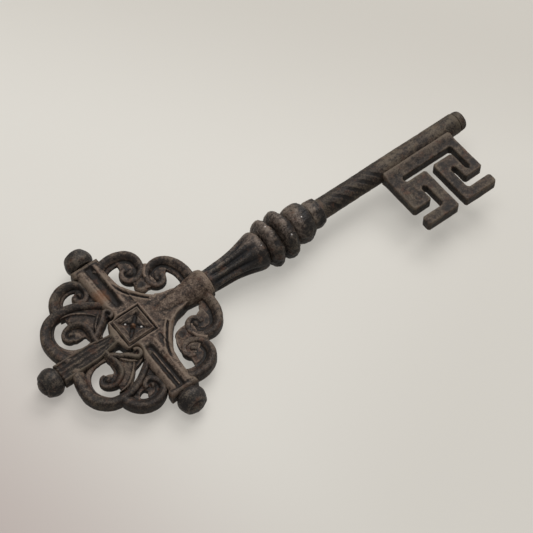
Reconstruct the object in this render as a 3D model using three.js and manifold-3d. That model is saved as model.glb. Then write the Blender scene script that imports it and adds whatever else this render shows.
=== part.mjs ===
// Decorative skeleton key: a pierced scrollwork bow on a baluster shank with a meander bit.
// Millimetres. +X runs along the shank from the bow to the tip, the bow lies in the XY plane and +Z is
// its face. The origin is the middle of the overall length, on the shank's axis.

import * as THREE from "three";
import { mergeVertices } from "three/addons/utils/BufferGeometryUtils.js";
import Module from "manifold-3d";

const wasm = await Module();
wasm.setup();

// Fits
const seatGap = 0.3; // between a seated piece and the piece that carries it
const boreGap = 0.2; // round a peg, a spigot or a tongue

// Bow: distances from the middle of the bow
const finialReach = 41; // to the widest ring of a finial
const bowHalfHeight = 3.8;
const armHalfWidth = 5.7; // left and right arms
const rearArmHalfWidth = 4.6;
const armCollarStep = 1.1; // how far the collar stands out from the arm
const rearEndHalfWidth = 5;
const armCollarWidth = 2.9;
const armSetback = 3.8; // from a finial's widest ring to the arm's end
const cornerRadius = 0.9;
const hubChamferWidth = 0.8;
const hubChamferHeight = 1.2;

// Channel cut along an arm, on both faces
const channelHalfWidth = 2.2;
const channelHubHalfWidth = 1.5;
const channelDepth = 1.1;
const channelHubGap = 5.1; // from the boss
const channelEndGap = 0.7; // from the arm's collar
const rearChannelHalfWidth = 2;
const rearChannelHubHalfWidth = 0.9;

// Socket that takes the shank
const socketOverrun = 0.5; // past the arms' ends
const socketMouthRadius = 6.7;
const socketLipWidth = 2.9;
const socketLipRadius = 7.2;
const socketWaistShare = 0.4; // of the way from the socket's root to its mouth
const socketWaistRadius = 5.4;
const socketRootGap = 5; // from the boss
const socketRootRadius = 4.1;
const socketBoreInset = 3.5; // from the socket's root

// Boss on the hub
const bossHalfWidth = 6.5;
const bossTop = 5.6;
const bossRim = 1.7;
const bossPocketDepth = 0.9;
const studTop = 4.9;
const studPocketFloor = 0.5; // thickness of the frame's floor under the stud

// Scrollwork
const scrollHalfHeight = 3.5;
const leafHalfHeight = 2.6;
const scrollChamferWidth = 0.7;
const scrollChamferHeight = 1.5;
const budHalfHeight = 2.9;
const leafRibHeight = 0.6;

// Finials
const finialRadius = 6.3;
const finialCapLength = 5.9; // from the widest ring to the outer end
const finialNeckRadius = 4.4;
const finialPegRadius = 1.7;
const finialPegLength = 4;
const finialDomeRadius = 3.4; // of the flat on the outer end
const finialShoulderLength = 2.4; // from the widest ring
const finialShoulderRadius = 5.6;
const finialCrownLength = 3.9; // from the widest ring
const finialCrownRadius = 5.3;

// Shank: lengths along its axis, the first one from the socket's mouth
const spigotRadius = 2.6;
const neckLength = 28.6;
const neckRadius = 5.2;
const neckWaistRadius = 5.8;
const neckFlareRadius = 8.9;
const neckFlareLength = 13;
const neckLipLength = 3.4;
const neckEndRadius = 7.2;
const firstRingWidth = 7.1;
const firstRingRadius = 11.3;
const secondRingWidth = 7.2;
const secondRingRadius = 11.6;
const bulbRingWidth = 10.2;
const bulbRingRadius = 9.3;
const collarRingWidth = 6;
const collarRingRadius = 6.8;
const ringFaceRadius = 6.4; // where a ring meets the next one
const collarFaceRadius = 5.6;
const stemLength = 29.5;
const stemRadius = 4.95;
const stemRidge = 0.35;
const stemStarts = 5;
const stemLead = 32; // length of one full turn of the twist
const barrelLength = 48.2;
const barrelRadius = 4.9;
const tipCapLength = 4.1;
const tipCapRadius = 4.6;
const tipCapRounding = 1.6;
const tipPegRadius = 2;
const tipPegLength = 4;

// Bit: the plate's outline is measured from its middle line and from the shank's axis
const bitSetback = 2.6; // from the barrel's start
const bitWidth = 38.8;
const bitReach = 36.3;
const bitHalfThickness = 2.8;
const bitRootHalfThickness = 3.4; // beside the barrel, where the plate swells
const bitRootInner = 3.6;
const bitChamfer = 0.5;
const bitCornerRadius = 0.6;
const crossSlotNear = 8.6;
const crossSlotWidth = 4.5;
const splitHalfWidth = 2.45;
const bitSideWall = 2.9; // outside the ward slots
const wardSlotWidth = 3.75;
const hookWall = 1.95; // between a ward slot and a hook slot
const hookSlotWidth = 3.8;
const hookHeadWall = 4.9; // between the cross slot and a hook slot
const exitSlotWidth = 5.8;
const exitShelf = 2.6; // between a ward slot and an exit slot
const prongWidth = 4.3;
const blindWardDepth = 0.8;
const blindWardGap = 1.5; // from the cross slot
const tongueHalfThickness = 1.4;
const tongueDepth = 2.4;
const tongueInset = 4;

// Fineness of round shapes
const roundSegments = 24;
const finialSegments = 20;
const pegSegments = 16;
const eyeSegments = 10;
const eyeRows = 6;
const barSides = 8;
const cornerSteps = 2;
const ringSteps = 6;
const stemRows = 16;
const stemSegments = 25;
const stationsPerStretch = 2;
const weldReach = 1e-4; // points nearer than this are one point
const seam = 1e-3; // below which a unit shape's coordinate counts as nought

// Stations measured from the middle of the bow
const armEnd = finialReach - armSetback;
const armCollarStart = armEnd - armCollarWidth;
const armCollarHalfWidth = armHalfWidth + armCollarStep;
const channelStart = bossHalfWidth + channelHubGap;
const channelEnd = armCollarStart - channelEndGap;
const finialShoulder = finialReach - finialShoulderLength;
const finialCrown = finialReach + finialCrownLength;
const finialEnd = finialReach + finialCapLength;
const socketRoot = bossHalfWidth + socketRootGap;
const socketBoreStart = socketRoot + socketBoreInset;
const socketMouth = armEnd + socketOverrun;
const socketLip = socketMouth - socketLipWidth;
const socketWaist = socketRoot + (socketMouth - socketRoot) * socketWaistShare;
const neckEnd = socketMouth + seatGap + neckLength;
const firstRingStart = neckEnd + seatGap;
const secondRingStart = firstRingStart + firstRingWidth + seatGap;
const bulbRingStart = secondRingStart + secondRingWidth + seatGap;
const collarRingStart = bulbRingStart + bulbRingWidth + seatGap;
const stemStart = collarRingStart + collarRingWidth + seatGap;
const barrelStart = stemStart + stemLength;
const tipCapStart = barrelStart + barrelLength;
const tipEnd = tipCapStart + seatGap + tipCapLength;
const bowX = finialEnd - (finialEnd + tipEnd) / 2;
const bossPocketFloor = bowHalfHeight - bossPocketDepth;
const bitStart = barrelStart + bitSetback;
const bitEnd = bitStart + bitWidth;
const bitMiddle = (bitStart + bitEnd) / 2;

// Slots of the bit: offsets from its middle line, and depths from the shank's axis
const wardSlotFar = bitWidth / 2 - bitSideWall;
const wardSlotNear = wardSlotFar - wardSlotWidth;
const hookSlotFar = wardSlotNear - hookWall;
const hookSlotNear = hookSlotFar - hookSlotWidth;
const crossSlotFar = crossSlotNear + crossSlotWidth;
const exitSlotFar = bitReach - prongWidth;
const exitSlotNear = exitSlotFar - exitSlotWidth;
const wardSlotDepth = exitSlotNear - exitShelf;
const hookSlotTop = crossSlotFar + hookHeadWall;
const blindWardTop = crossSlotFar + blindWardGap;

// Scrollwork of the left side, in shares of finialReach from the middle of the bow: centre lines as
// [x, y, half width], eyes and the bud as [x, y, radius]
const heartArmShares = [
  [0.06, 0.74, 0.059], [0.12, 0.785, 0.056], [0.2, 0.812, 0.054], [0.31, 0.812, 0.052],
  [0.41, 0.772, 0.049], [0.472, 0.695, 0.047], [0.48, 0.6, 0.045], [0.445, 0.52, 0.042],
  [0.37, 0.475, 0.04], [0.295, 0.485, 0.038], [0.255, 0.545, 0.035], [0.275, 0.605, 0.033],
  [0.325, 0.622, 0.03],
];
const heartArmEyeShares = [0.338, 0.562, 0.0488];
const heartSocketShares = [
  [0.8, 0.06, 0.059], [0.81, 0.14, 0.056], [0.815, 0.23, 0.054], [0.795, 0.345, 0.052],
  [0.74, 0.445, 0.049], [0.65, 0.502, 0.047], [0.55, 0.495, 0.045], [0.477, 0.44, 0.042],
  [0.447, 0.36, 0.04], [0.478, 0.29, 0.038], [0.54, 0.268, 0.035], [0.59, 0.305, 0.033],
  [0.597, 0.36, 0.03],
];
const heartSocketEyeShares = [0.527, 0.35, 0.0488];
const rearScrollShares = [
  [-0.03, 0.33, 0.034], [-0.1, 0.39, 0.037], [-0.18, 0.458, 0.039], [-0.28, 0.525, 0.042],
  [-0.39, 0.575, 0.045], [-0.52, 0.592, 0.047], [-0.645, 0.57, 0.05], [-0.74, 0.5, 0.053],
  [-0.795, 0.39, 0.055], [-0.795, 0.27, 0.058], [-0.77, 0.16, 0.061], [-0.73, 0.06, 0.063],
];
const rearVoluteShares = [
  [-0.39, 0.05, 0.059], [-0.375, 0.12, 0.056], [-0.37, 0.2, 0.053], [-0.385, 0.275, 0.05],
  [-0.43, 0.345, 0.047], [-0.51, 0.385, 0.045], [-0.6, 0.365, 0.042], [-0.65, 0.3, 0.039],
  [-0.63, 0.235, 0.036], [-0.57, 0.21, 0.033], [-0.52, 0.24, 0.03],
];
const rearVoluteEyeShares = [-0.565, 0.285, 0.0488];
const cornerCurlShares = [
  [-0.4, 0.12, 0.034], [-0.335, 0.155, 0.034], [-0.27, 0.205, 0.034], [-0.21, 0.245, 0.034],
  [-0.16, 0.26, 0.034],
];
const cornerCurlEyeShares = [-0.15, 0.262, 0.0561];
const endScrollShares = [
  [-0.53, 0.59, 0.063], [-0.52, 0.66, 0.06], [-0.47, 0.745, 0.057], [-0.385, 0.802, 0.054],
  [-0.28, 0.815, 0.05], [-0.19, 0.778, 0.047], [-0.148, 0.705, 0.044], [-0.157, 0.625, 0.041],
  [-0.215, 0.57, 0.037], [-0.275, 0.595, 0.034], [-0.285, 0.65, 0.031],
];
const endScrollEyeShares = [-0.225, 0.655, 0.0488];
const heartBudShares = [0.355, 0.365, 0.0732];
const leafRibShares = [
  [-0.215, 0.305, 0.027], [-0.28, 0.33, 0.027], [-0.35, 0.4, 0.027], [-0.41, 0.455, 0.027],
];

// Outlines of the left side, in shares of finialReach from the middle of the bow
const leafOutlineShares = [
  [-0.5, 0.46], [-0.42, 0.5], [-0.33, 0.45], [-0.24, 0.375], [-0.19, 0.315],
  [-0.25, 0.25], [-0.32, 0.19], [-0.35, 0.26], [-0.38, 0.33], [-0.44, 0.4],
];
const webShares = [
  [0.155, 0.56], [0.172, 0.48], [0.205, 0.405], [0.265, 0.315], [0.34, 0.225],
  [0.43, 0.155], [0.54, 0.127], [0.68, 0.09],
];
const hubRearShares = [
  [-0.14, 0.42], [-0.12, 0.345], [-0.085, 0.29], [-0.085, 0.225], [-0.12, 0.19],
  [-0.195, 0.18], [-0.24, 0.075],
];
const rearArmTaperShare = 0.5; // of finialReach, where the arm reaches its full width
const finialMidShare = 1 / 3; // of the fall from the ring to the crown, halfway between them
const cornerReachShare = 0.45; // of an edge, the most that a rounded corner takes
const leastTurn = Math.PI / 7; // an outline's bend below this one stays as it is
const sharpestCornerShare = 0.5; // least cosine of half a bend, where a grown outline is cut short

// Finishes
const finish = {
  arm: { color: 0x4a403a, roughness: 0.72, metalness: 0.55 },
  scroll: { color: 0x3d3531, roughness: 0.74, metalness: 0.55 },
  relief: { color: 0x54473f, roughness: 0.7, metalness: 0.5 },
  turned: { color: 0x3f3733, roughness: 0.7, metalness: 0.55 },
  shank: { color: 0x433a35, roughness: 0.7, metalness: 0.55 },
};

// Solids

function toSolid(geometry) {
  const bare = geometry.clone();
  bare.deleteAttribute("normal");
  bare.deleteAttribute("uv");
  const merged = mergeVertices(bare, weldReach);
  return new wasm.Manifold(new wasm.Mesh({
    numProp: 3,
    vertProperties: new Float32Array(merged.attributes.position.array),
    triVerts: new Uint32Array(merged.index.array),
  }));
}

function toGeometry(solid) {
  const mesh = solid.getMesh();
  const geometry = new THREE.BufferGeometry();
  geometry.setAttribute("position", new THREE.BufferAttribute(new Float32Array(mesh.vertProperties), 3));
  geometry.setIndex(Array.from(mesh.triVerts));
  geometry.computeVertexNormals();
  return geometry;
}

const cut = (solid, ...tools) => tools.reduce((rest, tool) => rest.subtract(tool), solid);
const join = (solid, ...others) => others.reduce((all, other) => all.add(other), solid);

// A solid turned about the X axis from [station, radius] pairs that start and end on the axis.
function turned(profile, segments = roundSegments) {
  const points = profile.map(([station, radius]) => new THREE.Vector2(radius, station));
  const geometry = new THREE.LatheGeometry(points, segments);
  geometry.rotateZ(-Math.PI / 2);
  return toSolid(geometry);
}

function rod(start, end, radius, segments = pegSegments) {
  return turned([[start, 0], [start, radius], [end, radius], [end, 0]], segments);
}

function block(x0, x1, y0, y1, z0, z1) {
  const geometry = new THREE.BoxGeometry(x1 - x0, y1 - y0, z1 - z0);
  geometry.translate((x0 + x1) / 2, (y0 + y1) / 2, (z0 + z1) / 2);
  return toSolid(geometry);
}

// Outlines

const area = (points) => THREE.ShapeUtils.area(points);

function grown(points, distance) {
  const side = Math.sign(area(points));
  return points.map((point, i) => {
    const before = points[(i + points.length - 1) % points.length];
    const after = points[(i + 1) % points.length];
    const into = point.clone().sub(before).normalize();
    const out = after.clone().sub(point).normalize();
    const normal = new THREE.Vector2(into.y + out.y, -into.x - out.x).normalize();
    const stretch = Math.max(normal.x * out.y - normal.y * out.x, sharpestCornerShare);
    return point.clone().addScaledVector(normal, (side * distance) / stretch);
  });
}

// The outline with each sharp corner replaced by a short arc.
function rounded(points, radius) {
  return points.flatMap((corner, i) => {
    const before = points[(i + points.length - 1) % points.length];
    const after = points[(i + 1) % points.length];
    const back = before.clone().sub(corner);
    const ahead = after.clone().sub(corner);
    if (back.angleTo(ahead) > Math.PI - leastTurn) return [corner];
    const reach = Math.min(radius, back.length() * cornerReachShare, ahead.length() * cornerReachShare);
    const start = corner.clone().addScaledVector(back.normalize(), reach);
    const end = corner.clone().addScaledVector(ahead.normalize(), reach);
    return new THREE.QuadraticBezierCurve(start, corner, end).getPoints(cornerSteps);
  });
}

// A plate in the XY plane, chamfered on both faces and centred on z = 0.
function plate(points, halfHeight, chamferWidth, chamferHeight) {
  const geometry = new THREE.ExtrudeGeometry(new THREE.Shape(points), {
    depth: 2 * (halfHeight - chamferHeight),
    bevelEnabled: true,
    bevelSegments: 1,
    bevelSize: chamferWidth,
    bevelOffset: -chamferWidth,
    bevelThickness: chamferHeight,
    curveSegments: 1,
  });
  geometry.translate(0, 0, chamferHeight - halfHeight);
  return toSolid(geometry);
}

const onBow = ([x, y]) => new THREE.Vector2(x * finialReach, y * finialReach);

// A chamfered bar laid along a centre line in the XY plane.
function bar(shares, halfHeight, extra = 0) {
  const points = shares.map((share) => new THREE.Vector3(...share).multiplyScalar(finialReach));
  const line = new THREE.CatmullRomCurve3(points, false, "catmullrom");
  const count = (shares.length - 1) * stationsPerStretch;
  const geometry = new THREE.CylinderGeometry(1, 1, 1, barSides, count, false, Math.PI / barSides);
  const position = geometry.attributes.position;
  const corner = Math.cos(Math.PI / barSides);
  const reachOf = (value, full, chamfer) => {
    if (Math.abs(value) < seam) return 0;
    return Math.sign(value) * (Math.abs(value) > corner - seam ? full : full - chamfer);
  };
  for (let i = 0; i < position.count; i += 1) {
    const t = THREE.MathUtils.clamp(position.getY(i) + 1 / 2, 0, 1);
    const point = line.getPoint(t);
    const along = line.getTangent(t).setZ(0).normalize();
    const across = reachOf(position.getX(i), point.z + extra, scrollChamferWidth);
    const height = reachOf(position.getZ(i), halfHeight + extra, scrollChamferHeight);
    position.setXYZ(i, point.x + along.y * across, point.y - along.x * across, height);
  }
  return toSolid(geometry);
}

function ball(shares, halfHeight, extra) {
  const [x, y, radius] = shares.map((share) => share * finialReach);
  const geometry = new THREE.SphereGeometry(radius + extra, eyeSegments, eyeRows);
  geometry.rotateX(Math.PI / 2);
  geometry.scale(1, 1, (halfHeight + extra) / (radius + extra));
  geometry.translate(x, y, 0);
  return toSolid(geometry);
}

// Scrollwork of the left side of the bow, each piece with a margin when it serves as a cutter

function scroll(shares, eyeShares, extra) {
  return join(bar(shares, scrollHalfHeight, extra), ball(eyeShares, scrollHalfHeight, extra));
}

const heartArmScroll = (extra = 0) => scroll(heartArmShares, heartArmEyeShares, extra);
const heartSocketScroll = (extra = 0) => scroll(heartSocketShares, heartSocketEyeShares, extra);
const heartBud = (extra = 0) => ball(heartBudShares, budHalfHeight, extra);
const rearScroll = (extra = 0) => bar(rearScrollShares, scrollHalfHeight, extra);
const rearVolute = (extra = 0) => scroll(rearVoluteShares, rearVoluteEyeShares, extra);
const cornerCurl = (extra = 0) => scroll(cornerCurlShares, cornerCurlEyeShares, extra);
const endScroll = (extra = 0) => scroll(endScrollShares, endScrollEyeShares, extra);

function rearLeaf() {
  const line = new THREE.SplineCurve([...leafOutlineShares, leafOutlineShares[0]].map(onBow));
  const outline = line.getPoints(leafOutlineShares.length * stationsPerStretch).slice(0, -1);
  const blade = plate(outline, leafHalfHeight, scrollChamferWidth, leafRibHeight);
  return join(blade, bar(leafRibShares, leafHalfHeight + leafRibHeight));
}

// Bow cross

function crossOutline() {
  const half = [
    ...webShares.map(onBow).reverse().map((point) => [point.x, point.y]),
    [armHalfWidth, armCollarStart - armCollarStep],
    [armCollarHalfWidth, armCollarStart],
    [armCollarHalfWidth, armEnd],
    [-armCollarHalfWidth, armEnd],
    [-armCollarHalfWidth, armCollarStart],
    [-armHalfWidth, armCollarStart - armCollarStep],
    ...hubRearShares.map(onBow).map((point) => [point.x, point.y]),
    [-rearArmTaperShare * finialReach, rearArmHalfWidth],
    [-armEnd, rearEndHalfWidth],
  ].map(([x, y]) => new THREE.Vector2(x, y));
  const lower = half.map((point) => new THREE.Vector2(point.x, -point.y)).reverse();
  return [...half, ...lower];
}

function socketSolid(extra) {
  return turned([
    [socketRoot - extra, 0],
    [socketRoot - extra, socketRootRadius + extra],
    [socketWaist, socketWaistRadius + extra],
    [socketLip, socketLipRadius + extra],
    [socketMouth + extra, socketMouthRadius + extra],
    [socketMouth + extra, 0],
  ]);
}

function crossBody(extra = 0) {
  const outline = rounded(grown(crossOutline(), extra), cornerRadius);
  const body = plate(outline, bowHalfHeight + extra, hubChamferWidth, hubChamferHeight);
  return join(body, socketSolid(extra));
}

function channel(hubHalfWidth, outerHalfWidth, angle) {
  const outline = [
    new THREE.Vector2(channelStart, -hubHalfWidth),
    new THREE.Vector2(channelEnd, -outerHalfWidth),
    new THREE.Vector2(channelEnd, outerHalfWidth),
    new THREE.Vector2(channelStart, hubHalfWidth),
  ];
  return [1, -1].map((face) => {
    const geometry = new THREE.ExtrudeGeometry(new THREE.Shape(outline), {
      depth: bowHalfHeight,
      bevelEnabled: false,
    });
    geometry.translate(0, 0, face > 0 ? bowHalfHeight - channelDepth : channelDepth - 2 * bowHalfHeight);
    geometry.rotateZ(angle);
    return toSolid(geometry);
  });
}

const armAngles = { left: Math.PI / 2, right: -Math.PI / 2, rear: Math.PI };
const placed = (solid, angle) => solid.rotate([0, 0, THREE.MathUtils.radToDeg(angle)]);

function bowCross() {
  const pocket = bossHalfWidth + boreGap;
  const tools = [
    ...channel(channelHubHalfWidth, channelHalfWidth, armAngles.left),
    ...channel(channelHubHalfWidth, channelHalfWidth, armAngles.right),
    ...channel(rearChannelHubHalfWidth, rearChannelHalfWidth, armAngles.rear),
    block(-pocket, pocket, -pocket, pocket, bossPocketFloor, bossTop),
    block(-pocket, pocket, -pocket, pocket, -bossTop, -bossPocketFloor),
    rod(socketBoreStart, socketMouth + seatGap, spigotRadius + boreGap),
    ...Object.values(armAngles).map((angle) => placed(
      rod(armEnd - finialPegLength - boreGap, armEnd + seatGap, finialPegRadius + boreGap), angle,
    )),
  ];
  return cut(crossBody(), ...tools);
}

// Boss

function bossFrame() {
  const inner = bossHalfWidth - bossRim;
  const square = [[-1, -1], [1, -1], [1, 1], [-1, 1]]
    .map(([x, y]) => new THREE.Vector2(x * bossHalfWidth, y * bossHalfWidth));
  const height = (bossTop - bossPocketFloor) / 2;
  const body = plate(square, height, cornerRadius / 2, cornerRadius / 2)
    .translate([0, 0, bossPocketFloor + height]);
  const floor = bossPocketFloor + studPocketFloor;
  return cut(body, block(-inner, inner, -inner, inner, floor, bossTop + seatGap));
}

function bossStud() {
  const floor = bossPocketFloor + studPocketFloor;
  const half = bossHalfWidth - bossRim - boreGap;
  const geometry = new THREE.ConeGeometry(half * Math.SQRT2, studTop - floor, 4, 1);
  geometry.rotateX(Math.PI / 2);
  geometry.rotateZ(Math.PI / 4);
  geometry.translate(0, 0, (studTop + floor) / 2);
  return toSolid(geometry);
}

// Finial on the +X side of its arm's end

function finial() {
  const start = armEnd + seatGap;
  return turned([
    [armEnd - finialPegLength, 0],
    [armEnd - finialPegLength, finialPegRadius],
    [start, finialPegRadius],
    [start, finialNeckRadius],
    [finialShoulder, finialShoulderRadius],
    [finialReach, finialRadius],
    [(finialReach + finialCrown) / 2, finialRadius + (finialCrownRadius - finialRadius) * finialMidShare],
    [finialCrown, finialCrownRadius],
    [finialEnd - seatGap, finialDomeRadius],
    [finialEnd, 0],
  ], finialSegments);
}

// Sleeves on the spigot

function sleeve(profile, start, end) {
  return cut(turned(profile), rod(start - seatGap, end + seatGap, spigotRadius + boreGap));
}

function neck() {
  const start = socketMouth + seatGap;
  return sleeve([
    [start, 0],
    [start, neckRadius],
    [start + neckFlareLength, neckWaistRadius],
    [neckEnd - neckLipLength, neckFlareRadius],
    [neckEnd - neckLipLength / 2, neckFlareRadius],
    [neckEnd, neckEndRadius],
    [neckEnd, 0],
  ], start, neckEnd);
}

function ring(start, width, radius, faceRadius) {
  const points = [[start, 0], [start, faceRadius]];
  for (let i = 1; i < ringSteps; i += 1) {
    const turn = (Math.PI * i) / ringSteps;
    const station = start + (width / 2) * (1 - Math.cos(turn));
    points.push([station, faceRadius + (radius - faceRadius) * Math.sin(turn)]);
  }
  points.push([start + width, faceRadius], [start + width, 0]);
  return sleeve(points, start, start + width);
}

// Shank and bit

function twistedStem() {
  const geometry = new THREE.CylinderGeometry(1, 1, stemLength, stemSegments, stemRows);
  const position = geometry.attributes.position;
  for (let i = 0; i < position.count; i += 1) {
    const x = position.getX(i);
    const z = position.getZ(i);
    const y = position.getY(i);
    const share = Math.hypot(x, z);
    const angle = Math.atan2(z, x);
    const turn = (2 * Math.PI * y) / stemLead;
    const radius = stemRadius + stemRidge * Math.cos(stemStarts * (angle - turn));
    position.setXYZ(i, share * radius * Math.cos(angle), y, share * radius * Math.sin(angle));
  }
  geometry.rotateZ(-Math.PI / 2);
  geometry.translate(stemStart + stemLength / 2, 0, 0);
  return toSolid(geometry);
}

// The bit's tongue, which sits in the barrel's mortise.
function tongue(extra) {
  return block(
    bitStart + tongueInset - extra, bitEnd - tongueInset + extra,
    -barrelRadius - tongueHalfThickness, -barrelRadius + tongueDepth + extra,
    -tongueHalfThickness - extra, tongueHalfThickness + extra,
  );
}

function shank() {
  const overlap = stemRidge;
  const body = join(
    rod(socketBoreStart + boreGap, stemStart + overlap, spigotRadius),
    twistedStem(),
    rod(barrelStart - overlap, tipCapStart, barrelRadius, roundSegments),
  );
  return cut(body, tongue(boreGap), rod(
    tipCapStart - tipPegLength - boreGap, tipCapStart + seatGap, tipPegRadius + boreGap,
  ));
}

function tipCap() {
  const start = tipCapStart + seatGap;
  return turned([
    [tipCapStart - tipPegLength, 0],
    [tipCapStart - tipPegLength, tipPegRadius],
    [start, tipPegRadius],
    [start, tipCapRadius],
    [tipEnd - tipCapRounding, tipCapRadius],
    [tipEnd - tipCapRounding / 3, tipCapRadius - tipCapRounding / 3],
    [tipEnd, tipCapRadius - tipCapRounding],
    [tipEnd, 0],
  ]);
}

function bitOutline() {
  const half = bitWidth / 2;
  const right = [
    [half, bitRootInner],
    [half, exitSlotNear],
    [hookSlotFar, exitSlotNear],
    [hookSlotFar, hookSlotTop],
    [hookSlotNear, hookSlotTop],
    [hookSlotNear, exitSlotFar],
    [half, exitSlotFar],
    [half, bitReach],
    [splitHalfWidth, bitReach],
    [splitHalfWidth, crossSlotFar],
  ];
  const ward = [
    [wardSlotNear, crossSlotFar],
    [wardSlotNear, wardSlotDepth],
    [wardSlotFar, wardSlotDepth],
    [wardSlotFar, crossSlotNear],
    [-wardSlotNear, crossSlotNear],
    [-wardSlotNear, crossSlotFar],
  ];
  const left = right.map(([offset, depth]) => [-offset, depth]).reverse();
  return [...right, ...ward, ...left]
    .map(([offset, depth]) => new THREE.Vector2(bitMiddle + offset, -depth));
}

// The strip between the barrel and the cross slot, thicker towards the barrel.
function bitRoot() {
  const edge = bitChamfer - crossSlotNear;
  const section = new THREE.Shape([
    new THREE.Vector2(-bitRootInner, -bitRootHalfThickness),
    new THREE.Vector2(edge, -bitHalfThickness),
    new THREE.Vector2(edge, bitHalfThickness),
    new THREE.Vector2(-bitRootInner, bitRootHalfThickness),
  ]);
  const geometry = new THREE.ExtrudeGeometry(section, {
    depth: bitWidth - 2 * bitChamfer,
    bevelEnabled: false,
  });
  geometry.rotateX(Math.PI / 2);
  geometry.rotateZ(Math.PI / 2);
  geometry.translate(bitStart + bitChamfer, 0, 0);
  return toSolid(geometry);
}

function bit() {
  const body = plate(rounded(bitOutline(), bitCornerRadius), bitHalfThickness, bitChamfer, bitChamfer);
  const blind = [1, -1].map((face) => {
    const floor = face * (bitHalfThickness - blindWardDepth);
    const top = face * (bitHalfThickness + seatGap);
    return block(
      bitMiddle - wardSlotFar, bitMiddle - wardSlotNear, -wardSlotDepth, -blindWardTop,
      Math.min(floor, top), Math.max(floor, top),
    );
  });
  const barrel = rod(barrelStart - bitWidth, tipCapStart + bitWidth, barrelRadius + boreGap, roundSegments);
  return join(cut(join(body, bitRoot()), ...blind, barrel), tongue(0));
}

// Nodes

const key = new THREE.Group();
key.name = "skeleton_key";

function add(name, solid, look) {
  const mesh = new THREE.Mesh(toGeometry(solid), new THREE.MeshStandardMaterial(finish[look]));
  mesh.name = name;
  key.add(mesh);
}

const onKey = (solid) => solid.translate([bowX, 0, 0]);
const mirrored = (solid) => solid.mirror([0, 1, 0]);
const backFace = (solid) => solid.mirror([0, 0, 1]);

add("bow_cross", onKey(bowCross()), "arm");
for (const [side, turn] of [["front", (solid) => solid], ["back", backFace]]) {
  add(`boss_frame_${side}`, onKey(turn(bossFrame())), "relief");
  add(`boss_stud_${side}`, onKey(turn(bossStud())), "relief");
}

const crossCutter = crossBody(seatGap);
const scrollwork = {
  heart_arm_scroll: [cut(heartArmScroll(), crossCutter), "scroll"],
  heart_socket_scroll: [cut(heartSocketScroll(), crossCutter, heartArmScroll(seatGap)), "scroll"],
  heart_bud: [
    cut(heartBud(), crossCutter, heartArmScroll(seatGap), heartSocketScroll(seatGap)), "relief",
  ],
  rear_scroll: [cut(rearScroll(), crossCutter), "scroll"],
  rear_volute: [cut(rearVolute(), crossCutter, rearScroll(seatGap)), "scroll"],
  corner_curl: [cut(cornerCurl(), crossCutter, rearVolute(seatGap), rearScroll(seatGap)), "relief"],
  end_scroll: [cut(endScroll(), crossCutter, rearScroll(seatGap)), "scroll"],
  rear_leaf: [
    cut(rearLeaf(), crossCutter, rearScroll(seatGap), rearVolute(seatGap), cornerCurl(seatGap)), "relief",
  ],
};
for (const [name, [solid, look]] of Object.entries(scrollwork)) {
  add(`${name}_left`, onKey(solid), look);
  add(`${name}_right`, onKey(mirrored(solid)), look);
}

for (const [side, angle] of Object.entries(armAngles)) {
  add(`finial_${side}`, onKey(placed(finial(), angle)), "turned");
}

add("neck", onKey(neck()), "turned");
const rings = {
  first: [firstRingStart, firstRingWidth, firstRingRadius, ringFaceRadius],
  second: [secondRingStart, secondRingWidth, secondRingRadius, ringFaceRadius],
  bulb: [bulbRingStart, bulbRingWidth, bulbRingRadius, collarFaceRadius],
  collar: [collarRingStart, collarRingWidth, collarRingRadius, collarFaceRadius],
};
for (const [name, sizes] of Object.entries(rings)) {
  add(`ring_${name}`, onKey(ring(...sizes)), "turned");
}
add("shank", onKey(shank()), "shank");
add("tip_cap", onKey(tipCap()), "shank");
add("bit", onKey(bit()), "shank");

export default key;
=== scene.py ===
"""Decorative skeleton key in aged cast iron, lying on a pale table.

Lengths in the classes are millimetres measured from the middle of the bow, with +X towards the tip and +Z
square to the bow's face, unless a name says otherwise. Meshes are made in metres in the key's own frame.
"""

from __future__ import annotations

import logging
import math
from collections.abc import Callable, Mapping, Sequence
from dataclasses import dataclass, field
from enum import Enum
from typing import Any

import bmesh
import bpy
import numpy as np
from mathutils import Matrix, Vector


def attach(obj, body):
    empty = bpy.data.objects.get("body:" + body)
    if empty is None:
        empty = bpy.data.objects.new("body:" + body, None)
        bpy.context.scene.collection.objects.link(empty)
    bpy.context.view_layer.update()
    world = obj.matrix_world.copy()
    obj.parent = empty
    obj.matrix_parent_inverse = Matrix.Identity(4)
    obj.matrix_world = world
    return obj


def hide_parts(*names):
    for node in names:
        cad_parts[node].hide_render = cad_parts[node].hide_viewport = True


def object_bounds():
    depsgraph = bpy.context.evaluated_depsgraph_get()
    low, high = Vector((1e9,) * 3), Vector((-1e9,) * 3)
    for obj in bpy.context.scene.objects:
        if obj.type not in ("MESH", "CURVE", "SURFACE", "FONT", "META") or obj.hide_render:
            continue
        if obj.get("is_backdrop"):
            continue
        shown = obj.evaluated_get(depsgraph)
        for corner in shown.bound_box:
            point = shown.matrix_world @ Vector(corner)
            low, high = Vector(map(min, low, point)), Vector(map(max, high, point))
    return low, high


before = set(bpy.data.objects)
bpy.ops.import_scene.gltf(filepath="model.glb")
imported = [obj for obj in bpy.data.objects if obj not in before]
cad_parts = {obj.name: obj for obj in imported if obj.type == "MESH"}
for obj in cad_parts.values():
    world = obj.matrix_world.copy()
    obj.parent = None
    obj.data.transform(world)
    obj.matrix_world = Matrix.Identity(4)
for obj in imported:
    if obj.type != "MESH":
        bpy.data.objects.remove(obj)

LOG = logging.getLogger("skeleton_key")
MM = 0.001
BOW_X = -66.9  # the bow's middle in the key's frame, mm
FINIAL_REACH = 41.0  # bow's middle to a finial's widest ring
BOW_HALF_HEIGHT = 3.8
SCROLL_HALF_HEIGHT = 3.5
RIB_RING = 20  # points round a thin rib

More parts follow.
